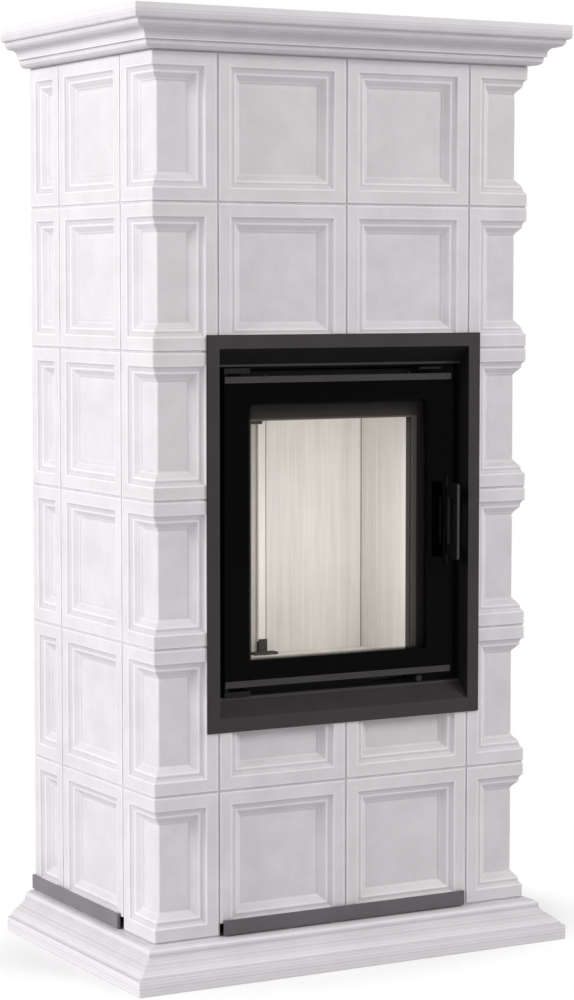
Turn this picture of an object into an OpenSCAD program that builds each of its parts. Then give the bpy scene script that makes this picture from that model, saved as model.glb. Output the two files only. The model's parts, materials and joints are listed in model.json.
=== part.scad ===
// Tiled fireplace: a ceramic tile surround with a glazed steel insert built in.
// Millimetres. The origin is on the floor, under the middle of the whole thing.
// X runs to the right seen from the front, Y runs to the back and Z runs up.

/* [Tiles] */
// Side of a full square tile
tile = 220; // [210:1:230]
// Thickness of a tile, from its face to its back
tile_t = 36; // [32:1:40]
// Width of the joints between the tiles
joint = 3; // [2:0.5:4]
// Mortar bed under the first row of tiles and over the last
bed = 2; // [1:0.5:3]
// Number of tile rows
rows = 6; // [6:1:8]
// Flat border round the relief of a tile
border = 22; // [18:1:26]
// Depth of the first step of the relief
step_a_depth = 5; // [3:0.5:6]
// Width of the first step's slope
step_a_run = 7; // [5:0.5:8]
// Flat fillet between the two steps
step_gap = 5; // [3:0.5:7]
// Depth of the panel, where the second step ends
panel_depth = 15; // [12:0.5:18]
// How far the mortar in the joints lies behind the tile faces
joint_recess = 2; // [1:0.5:4]

/* [Base moulding] */
// Height of the base moulding
base_h = 64; // [58:1:75]
// How far the base and the cornice stand out past the tiles
overhang = 50; // [48:1:60]
// Height of the plain face at the foot of the base
plinth_h = 18; // [14:1:22]
// How far the large round stands back from the plinth's face
plinth_set = 5; // [3:0.5:7]
// Radius of the large round of the base
base_round = 19; // [16:1:20]
// How far the small round stands back from the large one
bead_set = 3; // [2:0.5:4]
// Radius of the small round under the tiles
base_bead = 13; // [10:1:14]

/* [Cornice] */
// Height of the cornice
cornice_h = 62; // [60:1:75]
// Height of the plain face at the top of the cornice
fascia_h = 17; // [14:1:20]
// How far the foot of the cornice stands out past the tiles
cornice_foot = 9; // [7:0.5:10]
// Radius of the bead over the tiles
cornice_bead = 8.5; // [6:0.5:9]
// Step over the bead, both out and up
cornice_step = 4; // [3:0.5:5]
// Upright face under the hollow
cove_face = 5; // [3:0.5:6]
// Radius of the hollow above the bead
cornice_cove = 10; // [8:0.5:11]
// Radius of the round under the fascia
cornice_round = 12; // [10:0.5:13]

/* [Backing boards] */
// Thickness of the boards that the tiles are fixed to
board_t = 25; // [20:1:30]
// How far the back panel lies in from the rear edges of the tiles
panel_inset = 3; // [2:0.5:6]
// Height of the air slots behind the vent strips
vent_slot_h = 20; // [16:1:24]
// Width of the warm air opening in the top slab
outlet_w = 300; // [240:5:360]
// Depth of the warm air opening in the top slab
outlet_d = 70; // [50:5:90]
// Distance from the opening in the top slab to its rear edge
outlet_back = 70; // [60:5:100]
// Ledge on which the grille lies, all round the opening
outlet_ledge = 10; // [8:1:14]
// Thickness of the top grille
grille_t = 2; // [1.5:0.5:3]
// Width of a slot in the top grille
grille_slot = 6; // [5:0.5:8]
// Distance from one slot of the top grille to the next
grille_pitch = 12; // [11:0.5:16]
// Radius of the heads of the screws in the back panel
back_screw_r = 5; // [4:0.5:6]
// Height of the heads of the screws in the back panel
back_screw_h = 2; // [1:0.25:2]

/* [Vent strips] */
// Height of a vent strip
strip_h = 23; // [21:1:28]
// Thickness of a vent strip
strip_t = 3; // [2:0.5:4]
// Gap between a vent strip and the tiles
strip_gap = 3.5; // [3:0.5:6]
// Gap between a vent strip and the base moulding
strip_lift = 2; // [1:0.5:4]
// Width of the spacers behind the strips
spacer_w = 14; // [10:1:20]

/* [Insert frame] */
// Height of the front frame of the insert
frame_h = 603.8; // [590:0.1:615]
// How far the frame's top edge laps over the fifth row of tiles
frame_lap = 23.3; // [20:0.1:26]
// Width of the frame's flange
flange_w = 21.2; // [18:0.1:24]
// Thickness of the flange
flange_t = 3; // [2:0.5:4]
// Thickness of the folded sheet behind the flange
sheet_t = 2; // [1.5:0.5:2.5]
// Depth of the slanted reveal, from the tile faces
reveal_d = 25; // [22:1:28]
// Rise of the slanted top and bottom of the reveal
reveal_rise = 28.2; // [24:0.1:32]
// Thickness of the steel angle that carries the tiles over the insert
lintel_t = 3; // [3:0.5:4]
// Height of that angle's upright leg
lintel_leg = 38; // [30:1:45]

/* [Door] */
// Gap between the door and the reveal at each side
door_gap_x = 19.6; // [17:0.1:22]
// Gap between the door and the reveal above and below
door_gap_z = 14.7; // [14:0.1:17]
// Distance from the tile faces to the front of the door's rails
door_y = 18; // [16:1:20]
// Height of the rails that clamp the glass
rail_h = 9.8; // [8:0.1:12]
// Thickness of the rails
rail_t = 2.5; // [2:0.5:3]
// Thickness of the glass
glass_t = 4; // [4:0.5:5]
// Thickness of the tape between the glass and the door frame
tape_t = 1.2; // [1:0.1:2]
// Thickness of the door frame's plate
door_plate_t = 3; // [3:0.5:4]
// Width of the black print at each side of the glass
print_x = 43.2; // [40:0.1:46]
// Width of the black print at the top and the bottom of the glass
print_z = 39.8; // [38:0.1:42]
// Radius of the rope gasket
rope_r = 6.3; // [5.5:0.1:6.8]
// Bend radius of the rope gasket at the corners
rope_bend = 24; // [20:1:30]
// Thickness of the two ribs that hold the rope
rib_t = 2; // [1.5:0.5:2.5]
// Distance of the top rail's screws from the middle of the door
screw_top_x = 129; // [110:1:150]
// Distance of the bottom rail's screws from the middle of the door
screw_low_x = 60; // [50:1:62]
// Radius of the heads of the rail screws
rail_screw_r = 4; // [3:0.5:4.5]

/* [Hinges] */
// Distance from the door's left edge to the hinge axis
hinge_in = 6; // [6:0.5:8]
// Radius of the hinge pins
pin_r = 3.5; // [3:0.25:3.75]
// Radius of the bosses round the hinge pins
boss_r = 5.5; // [5.25:0.25:5.75]
// Thickness of the hinge brackets
bracket_t = 8; // [6:0.5:9]
// Length of the hinge brackets
bracket_l = 45; // [35:1:55]
// Thickness of the washer under the door
washer_t = 3; // [2:0.5:3.5]

/* [Handle] */
// Length of the handle plate
handle_h = 120; // [110:1:130]
// Height of the handle's pin above the middle of the door
handle_rise = 3.8; // [0:0.1:6]
// Thickness of the handle plate
handle_t = 5; // [4:0.5:6]
// How far the handle stands out in front of the tile faces
handle_out = 17; // [14:1:20]
// Depth of the handle plate
handle_d = 34; // [32:1:36]
// Height of the finger slot in the handle
slot_h = 75; // [70:1:80]
// Depth of the finger slot in the handle
slot_d = 15; // [13:0.5:16]
// Distance from the handle plate's middle to the door's right edge
handle_in = 7.2; // [7:0.1:8]
// Radius of the pin that the handle turns on
lever_pin_r = 2.5; // [2:0.25:3]
// How far the tip of the handle's hook stands above the middle of the keeper
hook_rise = 3; // [-4:0.5:3]
// Radius of the keeper that the handle's hook holds
keeper_r = 3; // [2.5:0.25:3.25]

/* [Firebox] */
// Thickness of the insert's front plate
face_t = 4; // [3:0.5:5]
// Distance from the tile faces to the front plate
face_y = 42; // [42:1:45]
// Width of the fire opening in the front plate
fire_w = 290; // [270:1:300]
// Height of the fire opening
fire_h = 379; // [360:1:385]
// Height of the fire opening's lower edge above the door's lower edge
fire_rise = 27.4; // [26:0.1:29]
// Depth of the rim behind the fire opening
rim_d = 15; // [12:1:16]
// Thickness of the firebox steel
shell_t = 3; // [2:0.5:4]
// Depth from the tile faces to the back lining
fire_back = 264; // [255:1:275]
// Width inside the lining
fire_room = 366; // [350:1:370]
// Thickness of the lining boards
lining_t = 30; // [25:1:30]
// Height of the side and back lining
lining_h = 454; // [445:1:465]
// Thickness of the baffle over the fire
baffle_t = 25; // [20:1:30]
// Open gap between the front plate and the baffle
baffle_gap = 90; // [70:1:110]
// Height of the firebox above the baffle
smoke_room = 62; // [50:1:75]
// Depth of the threshold behind the front plate
threshold_d = 44; // [36:1:50]
// Height of the air wash duct over the fire opening
wash_h = 18; // [14:1:19]
// Depth of the air wash duct
wash_d = 30; // [24:1:36]
// Length of the strip over the joint of the back lining
seam_h = 360; // [330:5:380]
// Width of that strip
seam_w = 15; // [12:1:18]
// Thickness of that strip
seam_t = 6; // [4:1:8]

/* [Grate and ash pan] */
// Width of the hole in the floor under the grate
grate_w = 150; // [130:1:170]
// Depth of the hole in the floor under the grate
grate_d = 76; // [70:1:130]
// Thickness of the grate
grate_t = 12; // [10:1:14]
// Ledge that carries the grate
grate_ledge = 5; // [4:0.5:7]
// Number of slots in the grate
grate_slots = 7; // [5:1:8]
// Width of a slot in the grate
grate_slot = 8; // [6:0.5:9]
// Depth of the ash pan
pan_h = 50; // [40:1:60]
// Thickness of the ash pan's sheet
pan_t = 1.5; // [1:0.5:2]

/* [Air supply] */
// Width of the air box under the firebox
air_box_w = 240; // [220:5:260]
// Height of the air box under the firebox
air_box_h = 120; // [115:1:130]
// Outer radius of the fresh air pipe
air_r = 52; // [48:0.5:54]
// Thickness of the fresh air pipe
air_t = 1.5; // [1:0.5:2]
// Travel of the air slide
slide_travel = 70; // [60:1:74]
// Distance from the middle of the door to the air knob
knob_x = 147; // [140:1:155]
// Radius of the air knob
knob_r = 6; // [5:0.25:6.25]

/* [Flue] */
// Inner radius of the flue pipe
flue_r = 75.5; // [65:0.5:80]
// Thickness of the flue pipe
flue_t = 2; // [1.5:0.5:3]
// Radius of the flue pipe's bend, at its middle
flue_bend = 100; // [95:1:120]
// Depth of the flue collar's middle behind the tile faces
flue_y = 190; // [180:1:200]
// Height of the flue outlet above the base
flue_z = 1100; // [1080:1:1120]
// Height of the flue collar
collar_h = 45; // [35:1:55]
// Turns between the straight lengths of the bend
bend_lengths = 3; // [2:1:5]

/* [Legs] */
// Width of the folded legs under the firebox
leg_w = 30; // [25:1:40]
// Radius of the feet under the legs
foot_r = 20; // [16:1:24]
// Height of the feet under the legs
foot_h = 8; // [6:1:12]

/* [Hidden] */

$fn = 48;
eps = 1;            // how far a cut runs past the face that it opens
fit = 0.3;          // gap between pieces that lie loosely together
run_fit = 0.05;     // radial gap of a pin that turns in its hole
arc_steps = 6;      // straight pieces in each round of a moulding
flat_w = 2;         // narrow flats between the rounds of a moulding

// The tile wall
pitch = tile + joint;
half_tile = (tile - joint) / 2;
body_w = 2 * tile + 2 * half_tile + 3 * joint;
body_d = tile + 2 * half_tile + 2 * joint;
body_h = rows * tile + (rows - 1) * joint + 2 * bed;
half_w = body_w / 2;
tile_face_y = (overhang - body_d) / 2;
back_y = body_d;
function row_z(k) = bed + k * pitch;

// The hole in the tile wall and the insert's frame
open_half = tile + 1.5 * joint;
clear_half = open_half - fit - sheet_t;
flange_half = clear_half + flange_w;
frame_z1 = row_z(4) + frame_lap;
frame_z0 = frame_z1 - frame_h;
clear_z0 = frame_z0 + flange_w;
clear_z1 = frame_z1 - flange_w;
open_z0 = clear_z0 - sheet_t - fit;
lintel_z0 = clear_z1 + sheet_t + fit;
open_z1 = lintel_z0 + lintel_t;
reveal_z0 = clear_z0 + reveal_rise;
reveal_z1 = clear_z1 - reveal_rise;
lip_h = 4;          // height of the lip at the inner end of the slanted sheets
lintel_in = 3;      // how far the angle lies behind the tile faces

// The boards behind the tiles
board_x = half_w - tile_t;
board_in = board_x - board_t;
board_top = body_h + cornice_h - board_t;
panel_y1 = back_y - panel_inset;
panel_y0 = panel_y1 - board_t;
upper_board_z = lintel_z0 + lintel_leg;
lower_board_z = open_z0 - board_t;
outlet_y1 = panel_y1 - outlet_back;
outlet_y0 = outlet_y1 - outlet_d;
board_gap = 5;      // gap between the lower board and the air box
panel_gap = 1;      // gap between the back panel and the pipes
screw_slope = 1.5;  // how far the heads of the back screws slope in
strip_end = 2;      // gap between the side vent strips and the wall

// The door
door_half = clear_half - door_gap_x;
door_z0 = reveal_z0 + door_gap_z;
door_z1 = reveal_z1 - door_gap_z;
door_mid = (door_z0 + door_z1) / 2;
glass_y0 = door_y + rail_t + fit;
glass_y1 = glass_y0 + glass_t;
plate_y0 = glass_y1 + tape_t;
plate_y1 = plate_y0 + door_plate_t;
glass_z0 = door_z0 + rail_t + fit;
glass_z1 = door_z1 - rail_t - fit;
tab_half = 7;       // half the width of the tabs that the rail screws go into
top_tab_h = 9;
low_tab_h = 3.5;
screw_y = plate_y1 + 1;
thread_r = 1.5;     // radius of the rail screws' threads
thread_hole_r = 1.6;
rail_screw_h = 2.5; // height of the rail screws' heads
window_half = door_half - print_x;
window_z1 = door_z1 - print_z;

// The fire opening and the rope that seals it
fire_half = fire_w / 2;
fire_z0 = door_z0 + fire_rise;
fire_z1 = fire_z0 + fire_h;
rope_out = rope_r + 0.5;
rope_half = window_half + rope_out + rib_t + 2.7;
rope_z0 = fire_z0 - rope_out - rib_t - 3.2;
rope_z1 = window_z1 + rope_out + rib_t + 2.4;
rope_y = plate_y1 + rope_r + run_fit;
rib_h = 6;          // how far the ribs beside the rope stand up
tape_in = 1;        // how far the tape lies in from the ribs

// The hinge
hinge_x = -door_half + hinge_in;
hinge_y = plate_y0 + 5;
boss_l = 26;        // length of the bosses round the hinge pins
press_gap = 0.02;   // radial gap of a pin that is held in its hole
top_bracket_z0 = reveal_z1 - sheet_t - bracket_t;
low_bracket_z1 = reveal_z0 + bracket_t;
boss_gap = 0.3;     // gap between the upper boss and its bracket
top_boss_z = top_bracket_z0 - boss_gap - boss_l;
low_boss_z = low_bracket_z1 + washer_t;
stop_w = 41;        // width of the bracket at the top right
stop_t = 3.5;       // thickness of that bracket
stop_drop = 4.5;    // gap between that bracket and the reveal

// The handle
latch_z = door_mid + handle_rise;
handle_x = door_half - handle_in;
ear_t = 3;          // thickness of an ear that holds a pin
ear_x0 = door_half - 2 * handle_in;
ear_half = 10;      // half the height of the ears
fold = 5;           // how far the folded tabs and ears reach behind their pin or plate
notch_half = handle_h / 2 + 12;
notch_x = handle_x - handle_t / 2 - 2.4;
lever_y = plate_y1 + fold;
lever_boss = 8;     // radius of the handle plate round its pin
washer_rim = 2;     // width of the washers beside the handle plate
washer_gap = 0.1;   // gap at each side of those washers
slot_in = 14;       // distance from the handle's front edge to its finger slot
hook_t = 5;         // width of the handle's hook
hook_gap = 0.4;     // gap between the hook and the keeper
hook_slot_side = 2; // gap between the handle plate and its slot in the front plate
hook_slot_below = 30;
hook_slot_above = 12;
keeper_y = face_y + face_t + 6;
keeper_d = 12;      // how far the keeper's ears reach behind the front plate
keeper_half = 9;    // half the height of the keeper's ears
keeper_side = 1;    // gap between the handle plate and each of those ears

// The firebox
fire_in = fire_room / 2;
shell_in = fire_in + lining_t;
shell_out = shell_in + shell_t;
shell_y0 = face_y + face_t;
shell_y1 = fire_back + lining_t;
floor_z = reveal_z0 - sheet_t;
hearth_z = floor_z + lining_t;
lining_z1 = floor_z + lining_h;
shell_z1 = lining_z1 + baffle_t + smoke_room;
threshold_y = shell_y0 + threshold_d;
lining_y0 = shell_y0 + rim_d + 1;
seam = 1;           // gap between the two boards of the back lining
groove_w = 3;       // width of the grooves in the side lining
groove_d = 2;
groove_back = 22;   // distance from the first groove to the back lining
groove_pitch = 30;
clip_h = 20;        // height of the clips beyond the strip's ends
clip_t = 3;         // thickness of a clip
clip_lap = 4;       // how far a clip laps over the strip's end
clip_foot = 18;     // depth of the lower clip's foot
clip_edge = 6;      // how far the upper clip laps over the strip's edge
wash_top = 4;       // distance from the reveal to the air wash slot under it
wash_gap = 3;       // height of that slot in the front plate
wash_slots = 7;     // outlets in the floor of the air wash duct
wash_pitch = 40;
wash_slot_l = 24;
wash_slot_w = 4;
grate_y0 = threshold_y + 20;
grate_y1 = grate_y0 + grate_d;
grate_rim = 10;     // distance from the slots' ends to the hole in the floor
pan_in = 3;         // gap between the ash pan and the hole in the floor
pan_rim = 2.5;      // width of the ash pan's rim
pan_half = grate_w / 2 - pan_in;

// The legs, behind the lower board
leg_y0 = tile_t + board_t + 2;

// The air supply
air_box_z0 = floor_z - shell_t - air_box_h;
air_z = air_box_z0 + air_box_h / 2;
air_box_set = 4;    // distance from the front plate to the air box
knob_z = reveal_z0 + knob_r + 2 * fit;
knob_l = 9;         // length of the air knob
stem = 5;           // thickness of the air slide's stem
stem_out = 12;      // how far the stem stands out in front of the front plate
plate_x1 = knob_x + stem / 2;
plate_len = slide_travel + 8;
port_x1 = plate_x1 - plate_len - 4;
port_edge = 6;      // distance from the air slide's edges to the port under it
guide_gap = 0.3;    // gap between the air slide and each guide
guide_t = 3;
guide_h = 4;
guide_past = 6;     // how far the guides reach past the air slide's travel
slide_y0 = shell_y0 + 6;
slide_y1 = slide_y0 + 30;

// The flue
flue_out = flue_r + flue_t;
stop_r = flue_r - flue_t;    // inside the bend's last length, rolled double as a stop
collar_r = stop_r - fit;
rim_w = 22;         // width of the flue collar's flange and of the rosettes
rosette_t = 2;
bend_seam = 0.2;    // angle of the seams between the lengths of the bend

// Shared helpers. Inside at_body, y is the depth behind the tile faces and z is the height
// above the base.
module at_body() {
    translate([0, tile_face_y, base_h]) children();
}

module block(low, high) {
    translate(low) cube(high - low);
}

module both_sides() {
    children();
    mirror([1, 0, 0]) children();
}

// Turns a front wall, drawn from x = 0 to the right, into the left side wall.
module on_left() {
    translate([-half_w, 0, 0]) mirror([1, -1, 0]) children();
}

module tube(r_out, r_in, h) {
    difference() {
        cylinder(r = r_out, h = h);
        translate([0, 0, -eps]) cylinder(r = r_in, h = h + 2 * eps);
    }
}

module tube_y(r_out, r_in, y0, y1) {
    translate([0, y1, 0]) rotate([90, 0, 0]) tube(r_out, r_in, y1 - y0);
}

module tube_hole(r, y0, y1) {
    translate([0, y1, 0]) rotate([90, 0, 0]) cylinder(r = r, h = y1 - y0);
}

module tube_x(r_out, r_in, x0, x1) {
    translate([x0, 0, 0]) rotate([0, 90, 0]) tube(r_out, r_in, x1 - x0);
}

function arc(r, from, to) =
    [for (i = [0:arc_steps]) let (a = from + (to - from) * i / arc_steps) [r * cos(a), r * sin(a)]];

// Extrudes an outline of [y, z] points along x.
module along_x(outline, x0, x1) {
    translate([x0, 0, 0]) rotate([90, 0, 90]) linear_extrude(x1 - x0) polygon(outline);
}

// A recess that narrows towards its floor: the mould draws out of it.
module recess(x0, x1, z0, z1, depth, run) {
    out = run / depth;
    polyhedron(
        points = [
            [x0 - out, -1, z0 - out], [x1 + out, -1, z0 - out],
            [x1 + out, -1, z1 + out], [x0 - out, -1, z1 + out],
            [x0 + run, depth, z0 + run], [x1 - run, depth, z0 + run],
            [x1 - run, depth, z1 - run], [x0 + run, depth, z1 - run]],
        faces = [[0, 3, 2, 1], [4, 5, 6, 7], [0, 1, 5, 4], [1, 2, 6, 5], [2, 3, 7, 6], [3, 0, 4, 7]]);
}

// Both steps of the relief: the second one's slope meets the face inside the first one.
module relief(x0, x1, h) {
    inner_run = panel_depth;
    inset = border + step_a_run + step_gap - step_a_depth;
    recess(x0 + border, x1 - border, border, h - border, step_a_depth, step_a_run);
    recess(x0 + inset, x1 - inset, inset, h - inset, panel_depth, inner_run);
}

module flat_tile(w, h) {
    difference() {
        cube([w, tile_t, h]);
        relief(0, w, h);
    }
}

module corner_tile() {
    past = half_tile;
    difference() {
        union() {
            cube([half_tile, tile_t, tile]);
            cube([tile_t, half_tile, tile]);
        }
        relief(-past, half_tile, tile);
        mirror([1, -1, 0]) relief(-past, half_tile, tile);
    }
}

module wall_hole() {
    block([-open_half, -eps, open_z0], [open_half, tile_t + eps, open_z1]);
}

module vent_slot(x0, x1) {
    block([x0, -eps, -eps], [x1, tile_t + eps, vent_slot_h]);
}

// Base and cornice: one profile, cut to a mitre at the front corners
function base_profile() = let (
        plinth_z = plinth_h - base_h,
        round_y = -overhang + plinth_set + base_round,
        bead_y = round_y + bead_set + base_bead)
    concat(
        [[tile_t, -base_h], [-overhang, -base_h], [-overhang, plinth_z]],
        [[-overhang + plinth_set, plinth_z]],
        [for (p = arc(base_round, 0, 90)) [round_y - p[0], plinth_z + flat_w + p[1]]],
        [[round_y + bead_set, plinth_z + flat_w + base_round]],
        [for (p = arc(base_bead, 0, 90)) [bead_y - p[0], p[1] - base_bead]],
        [[tile_t, 0]]);

function cornice_profile() = let (
        step_y = -cornice_foot - cornice_bead - cornice_step,
        step_z = cornice_bead + cornice_step,
        cove_y = step_y - cornice_cove,
        cove_z = step_z + cove_face,
        round_z = cornice_h - fascia_h - flat_w)
    concat(
        [[tile_t, 0], [-cornice_foot, 0]],
        [for (p = arc(cornice_bead, -90, 0)) [-cornice_foot - p[0], cornice_bead + p[1]]],
        [[step_y + cornice_step, step_z], [step_y, step_z], [step_y, cove_z]],
        [for (p = arc(cornice_cove, 180, 90)) [cove_y - p[0], cove_z + p[1]]],
        [[cove_y - flat_w, cove_z + cornice_cove]],
        [for (p = arc(cornice_round, -90, 0)) [cove_y - flat_w - p[0], round_z + p[1]]],
        [[-overhang, cornice_h - fascia_h], [-overhang, cornice_h], [tile_t, cornice_h]]);

module front_moulding(profile, z0, z1) {
    intersection() {
        along_x(profile, -half_w - overhang, half_w + overhang);
        translate([0, 0, z0 - eps]) linear_extrude(z1 - z0 + 2 * eps)
            polygon([[-half_w - overhang, -overhang], [half_w + overhang, -overhang],
                     [half_w - tile_t, tile_t], [tile_t - half_w, tile_t]]);
    }
}

module left_moulding(profile, z0, z1) {
    intersection() {
        on_left() along_x(profile, -overhang, body_d);
        translate([0, 0, z0 - eps]) linear_extrude(z1 - z0 + 2 * eps)
            polygon([[-half_w - overhang, -overhang], [tile_t - half_w, tile_t],
                     [tile_t - half_w, body_d], [-half_w - overhang, body_d]]);
    }
}

module base_front() {
    color("#d9d5d8") at_body() front_moulding(base_profile(), -base_h, 0);
}

module base_left() {
    color("#e6e3e6") at_body() left_moulding(base_profile(), -base_h, 0);
}

module base_right() {
    color("#d9d5d8") at_body() mirror([1, 0, 0]) left_moulding(base_profile(), -base_h, 0);
}

module cornice_front() {
    color("#d9d5d8") at_body() translate([0, 0, body_h])
        front_moulding(cornice_profile(), 0, cornice_h);
}

module cornice_left() {
    color("#e6e3e6") at_body() translate([0, 0, body_h])
        left_moulding(cornice_profile(), 0, cornice_h);
}

module cornice_right() {
    color("#d9d5d8") at_body() translate([0, 0, body_h]) mirror([1, 0, 0])
        left_moulding(cornice_profile(), 0, cornice_h);
}

// Tiles
module corner_tiles() {
    color("#dedadd") at_body() both_sides()
        for (k = [0:rows - 1])
            translate([-half_w, 0, row_z(k)]) corner_tile();
}

module front_row(k) {
    for (x = [-tile - joint / 2, joint / 2])
        translate([x, 0, row_z(k)]) flat_tile(tile, tile);
}

module front_tiles_upper() {
    color("#d5d1d4") at_body() difference() {
        for (k = [0:rows - 1])
            if (row_z(k) + tile > open_z1) front_row(k);
        wall_hole();
    }
}

module front_tiles_cut() {
    color("#d5d1d4") at_body() difference() {
        for (k = [1:rows - 1])
            if (row_z(k) < open_z0) front_row(k);
        wall_hole();
    }
}

module front_tiles_bottom() {
    color("#d5d1d4") at_body() difference() {
        front_row(0);
        vent_slot(-open_half, open_half);
    }
}

module side_tiles() {
    color("#e6e3e6") at_body() both_sides() on_left() difference() {
        for (k = [0:rows - 1])
            translate([half_tile + joint, 0, row_z(k)]) flat_tile(tile, tile);
        vent_slot(half_tile, body_d);
    }
}

module half_tiles() {
    color("#e6e3e6") at_body() both_sides() on_left() difference() {
        for (k = [0:rows - 1])
            translate([half_tile + 2 * joint + tile, 0, row_z(k)]) flat_tile(half_tile, tile);
        vent_slot(half_tile, body_d + eps);
    }
}

// Mortar in the joints: a flat ring between two rows, and a strip between two columns
module joint_ring(z0, z1) {
    difference() {
        block([joint_recess - half_w, joint_recess, z0], [half_w - joint_recess, body_d, z1]);
        block([tile_t - half_w, tile_t, z0 - eps], [half_w - tile_t, body_d + eps, z1 + eps]);
    }
}

module tile_joints() {
    color("#b3aca8") at_body() difference() {
        union() {
            joint_ring(0, bed);
            joint_ring(body_h - bed, body_h);
            for (k = [1:rows - 1]) joint_ring(row_z(k) - joint, row_z(k));
            for (x = [-open_half, -joint / 2, open_half - joint])
                block([x, joint_recess, 0], [x + joint, tile_t, body_h]);
            both_sides() on_left() for (x = [half_tile, half_tile + joint + tile])
                block([x, joint_recess, 0], [x + joint, tile_t, body_h]);
        }
        wall_hole();
        vent_slot(joint - open_half, open_half - joint);
        both_sides() on_left() vent_slot(half_tile + joint, body_d + eps);
    }
}

// Boards, back panel and top
module side_boards() {
    color("#cfc8bb") at_body() both_sides() difference() {
        block([-board_x, tile_t, -base_h], [-board_in, panel_y0, board_top]);
        block([-board_x - eps, half_tile, -base_h - eps],
              [-board_in + eps, panel_y0 - board_t, vent_slot_h]);
    }
}

module front_board_upper() {
    color("#cfc8bb") at_body()
        block([-board_in, tile_t, upper_board_z], [board_in, tile_t + board_t, board_top]);
}

module front_board_lower() {
    half = air_box_w / 2 + board_gap;
    color("#cfc8bb") at_body() difference() {
        block([-board_in, tile_t, vent_slot_h], [board_in, tile_t + board_t, lower_board_z]);
        block([-half, tile_t - eps, air_box_z0 - board_gap],
              [half, tile_t + board_t + eps, lower_board_z + eps]);
    }
}

module back_panel() {
    color("#c9c4ba") at_body() difference() {
        block([-board_x, panel_y0, -base_h], [board_x, panel_y1, board_top]);
        translate([0, 0, flue_z]) tube_hole(flue_out + panel_gap, panel_y0 - eps, panel_y1 + eps);
        translate([0, 0, air_z]) tube_hole(air_r + panel_gap, panel_y0 - eps, panel_y1 + eps);
    }
}

module top_slab() {
    ledge = outlet_ledge + fit;
    color("#d9d5d8") at_body() difference() {
        block([-board_x, tile_t, board_top], [board_x, panel_y1, board_top + board_t]);
        block([-outlet_w / 2, outlet_y0, board_top - eps],
              [outlet_w / 2, outlet_y1, board_top + board_t + eps]);
        block([-outlet_w / 2 - ledge, outlet_y0 - ledge, board_top + board_t - grille_t],
              [outlet_w / 2 + ledge, outlet_y1 + ledge, board_top + board_t + eps]);
    }
}

module top_grille() {
    z1 = board_top + board_t;
    slots = floor((outlet_w - grille_pitch) / grille_pitch);
    color("#45414a") at_body() difference() {
        block([-outlet_w / 2 - outlet_ledge, outlet_y0 - outlet_ledge, z1 - grille_t],
              [outlet_w / 2 + outlet_ledge, outlet_y1 + outlet_ledge, z1]);
        for (i = [0:slots - 1])
            translate([(i - (slots - 1) / 2) * grille_pitch, 0, 0])
                block([-grille_slot / 2, outlet_y0 + grille_slot, z1 - grille_t - eps],
                      [grille_slot / 2, outlet_y1 - grille_slot, z1 + eps]);
    }
}

module back_screws() {
    in = board_t / 2;
    heights = [in - base_h, body_h / 3, body_h * 2 / 3, board_top - in];
    color("#8d8d90") at_body()
        for (x = [in - board_x, 0, board_x - in], z = heights)
            if (x != 0 || z < 0 || z > flue_z + flue_out)
                translate([x, panel_y1 + back_screw_h, z]) rotate([90, 0, 0])
                    cylinder(r1 = back_screw_r - screw_slope, r2 = back_screw_r, h = back_screw_h);
}

// Vent strips over the air slots
module strip(x0, x1) {
    block([x0, -strip_gap - strip_t, strip_lift], [x1, -strip_gap, strip_lift + strip_h]);
}

module spacers(xs) {
    for (x = xs)
        block([x - spacer_w / 2, -strip_gap, vent_slot_h + fit],
              [x + spacer_w / 2, 0, strip_lift + strip_h - fit]);
}

module vent_strip_front() {
    color("#5f5a5e") at_body() strip(-open_half + joint, open_half - joint);
}

module vent_strips_side() {
    color("#8b898a") at_body() both_sides() on_left() strip(half_tile + joint, body_d - strip_end);
}

module strip_spacers() {
    color("#5f5a5e") at_body() {
        spacers([-tile + spacer_w, -tile / 2, tile / 2, tile - spacer_w]);
        both_sides() on_left()
            spacers([half_tile + joint + spacer_w, half_tile + tile / 2, body_d - 2 * spacer_w]);
    }
}

// Insert: the frame in front, and the angle that carries the tiles above it
module tile_lintel() {
    color("#6b6a6c") at_body() {
        block([-open_half + fit, lintel_in, lintel_z0],
              [open_half - fit, tile_t + lintel_t, lintel_z0 + lintel_t]);
        block([-board_in, tile_t, lintel_z0],
              [board_in, tile_t + lintel_t, lintel_z0 + lintel_leg]);
    }
}

module insert_frame() {
    lip_y = reveal_d - sheet_t;
    color("#3f3b3e") at_body() {
        difference() {
            block([-flange_half, -flange_t, frame_z0], [flange_half, 0, frame_z1]);
            block([-clear_half, -flange_t - eps, clear_z0], [clear_half, eps, clear_z1]);
        }
        both_sides() block([clear_half, -flange_t, clear_z0 - sheet_t],
                           [clear_half + sheet_t, face_y, clear_z1 + sheet_t]);
        along_x([[-flange_t, clear_z0], [lip_y, reveal_z0 - lip_h], [lip_y, reveal_z0],
                 [face_y, reveal_z0], [face_y, reveal_z0 - sheet_t], [reveal_d, reveal_z0 - sheet_t],
                 [reveal_d, reveal_z0 - lip_h - sheet_t], [0, clear_z0 - sheet_t],
                 [-flange_t, clear_z0 - sheet_t]],
                -clear_half, clear_half);
        along_x([[-flange_t, clear_z1], [-flange_t, clear_z1 + sheet_t], [0, clear_z1 + sheet_t],
                 [reveal_d, reveal_z1 + lip_h + sheet_t], [reveal_d, reveal_z1 + sheet_t],
                 [face_y, reveal_z1 + sheet_t], [face_y, reveal_z1], [lip_y, reveal_z1],
                 [lip_y, reveal_z1 + lip_h]],
                -clear_half, clear_half);
    }
}

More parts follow.
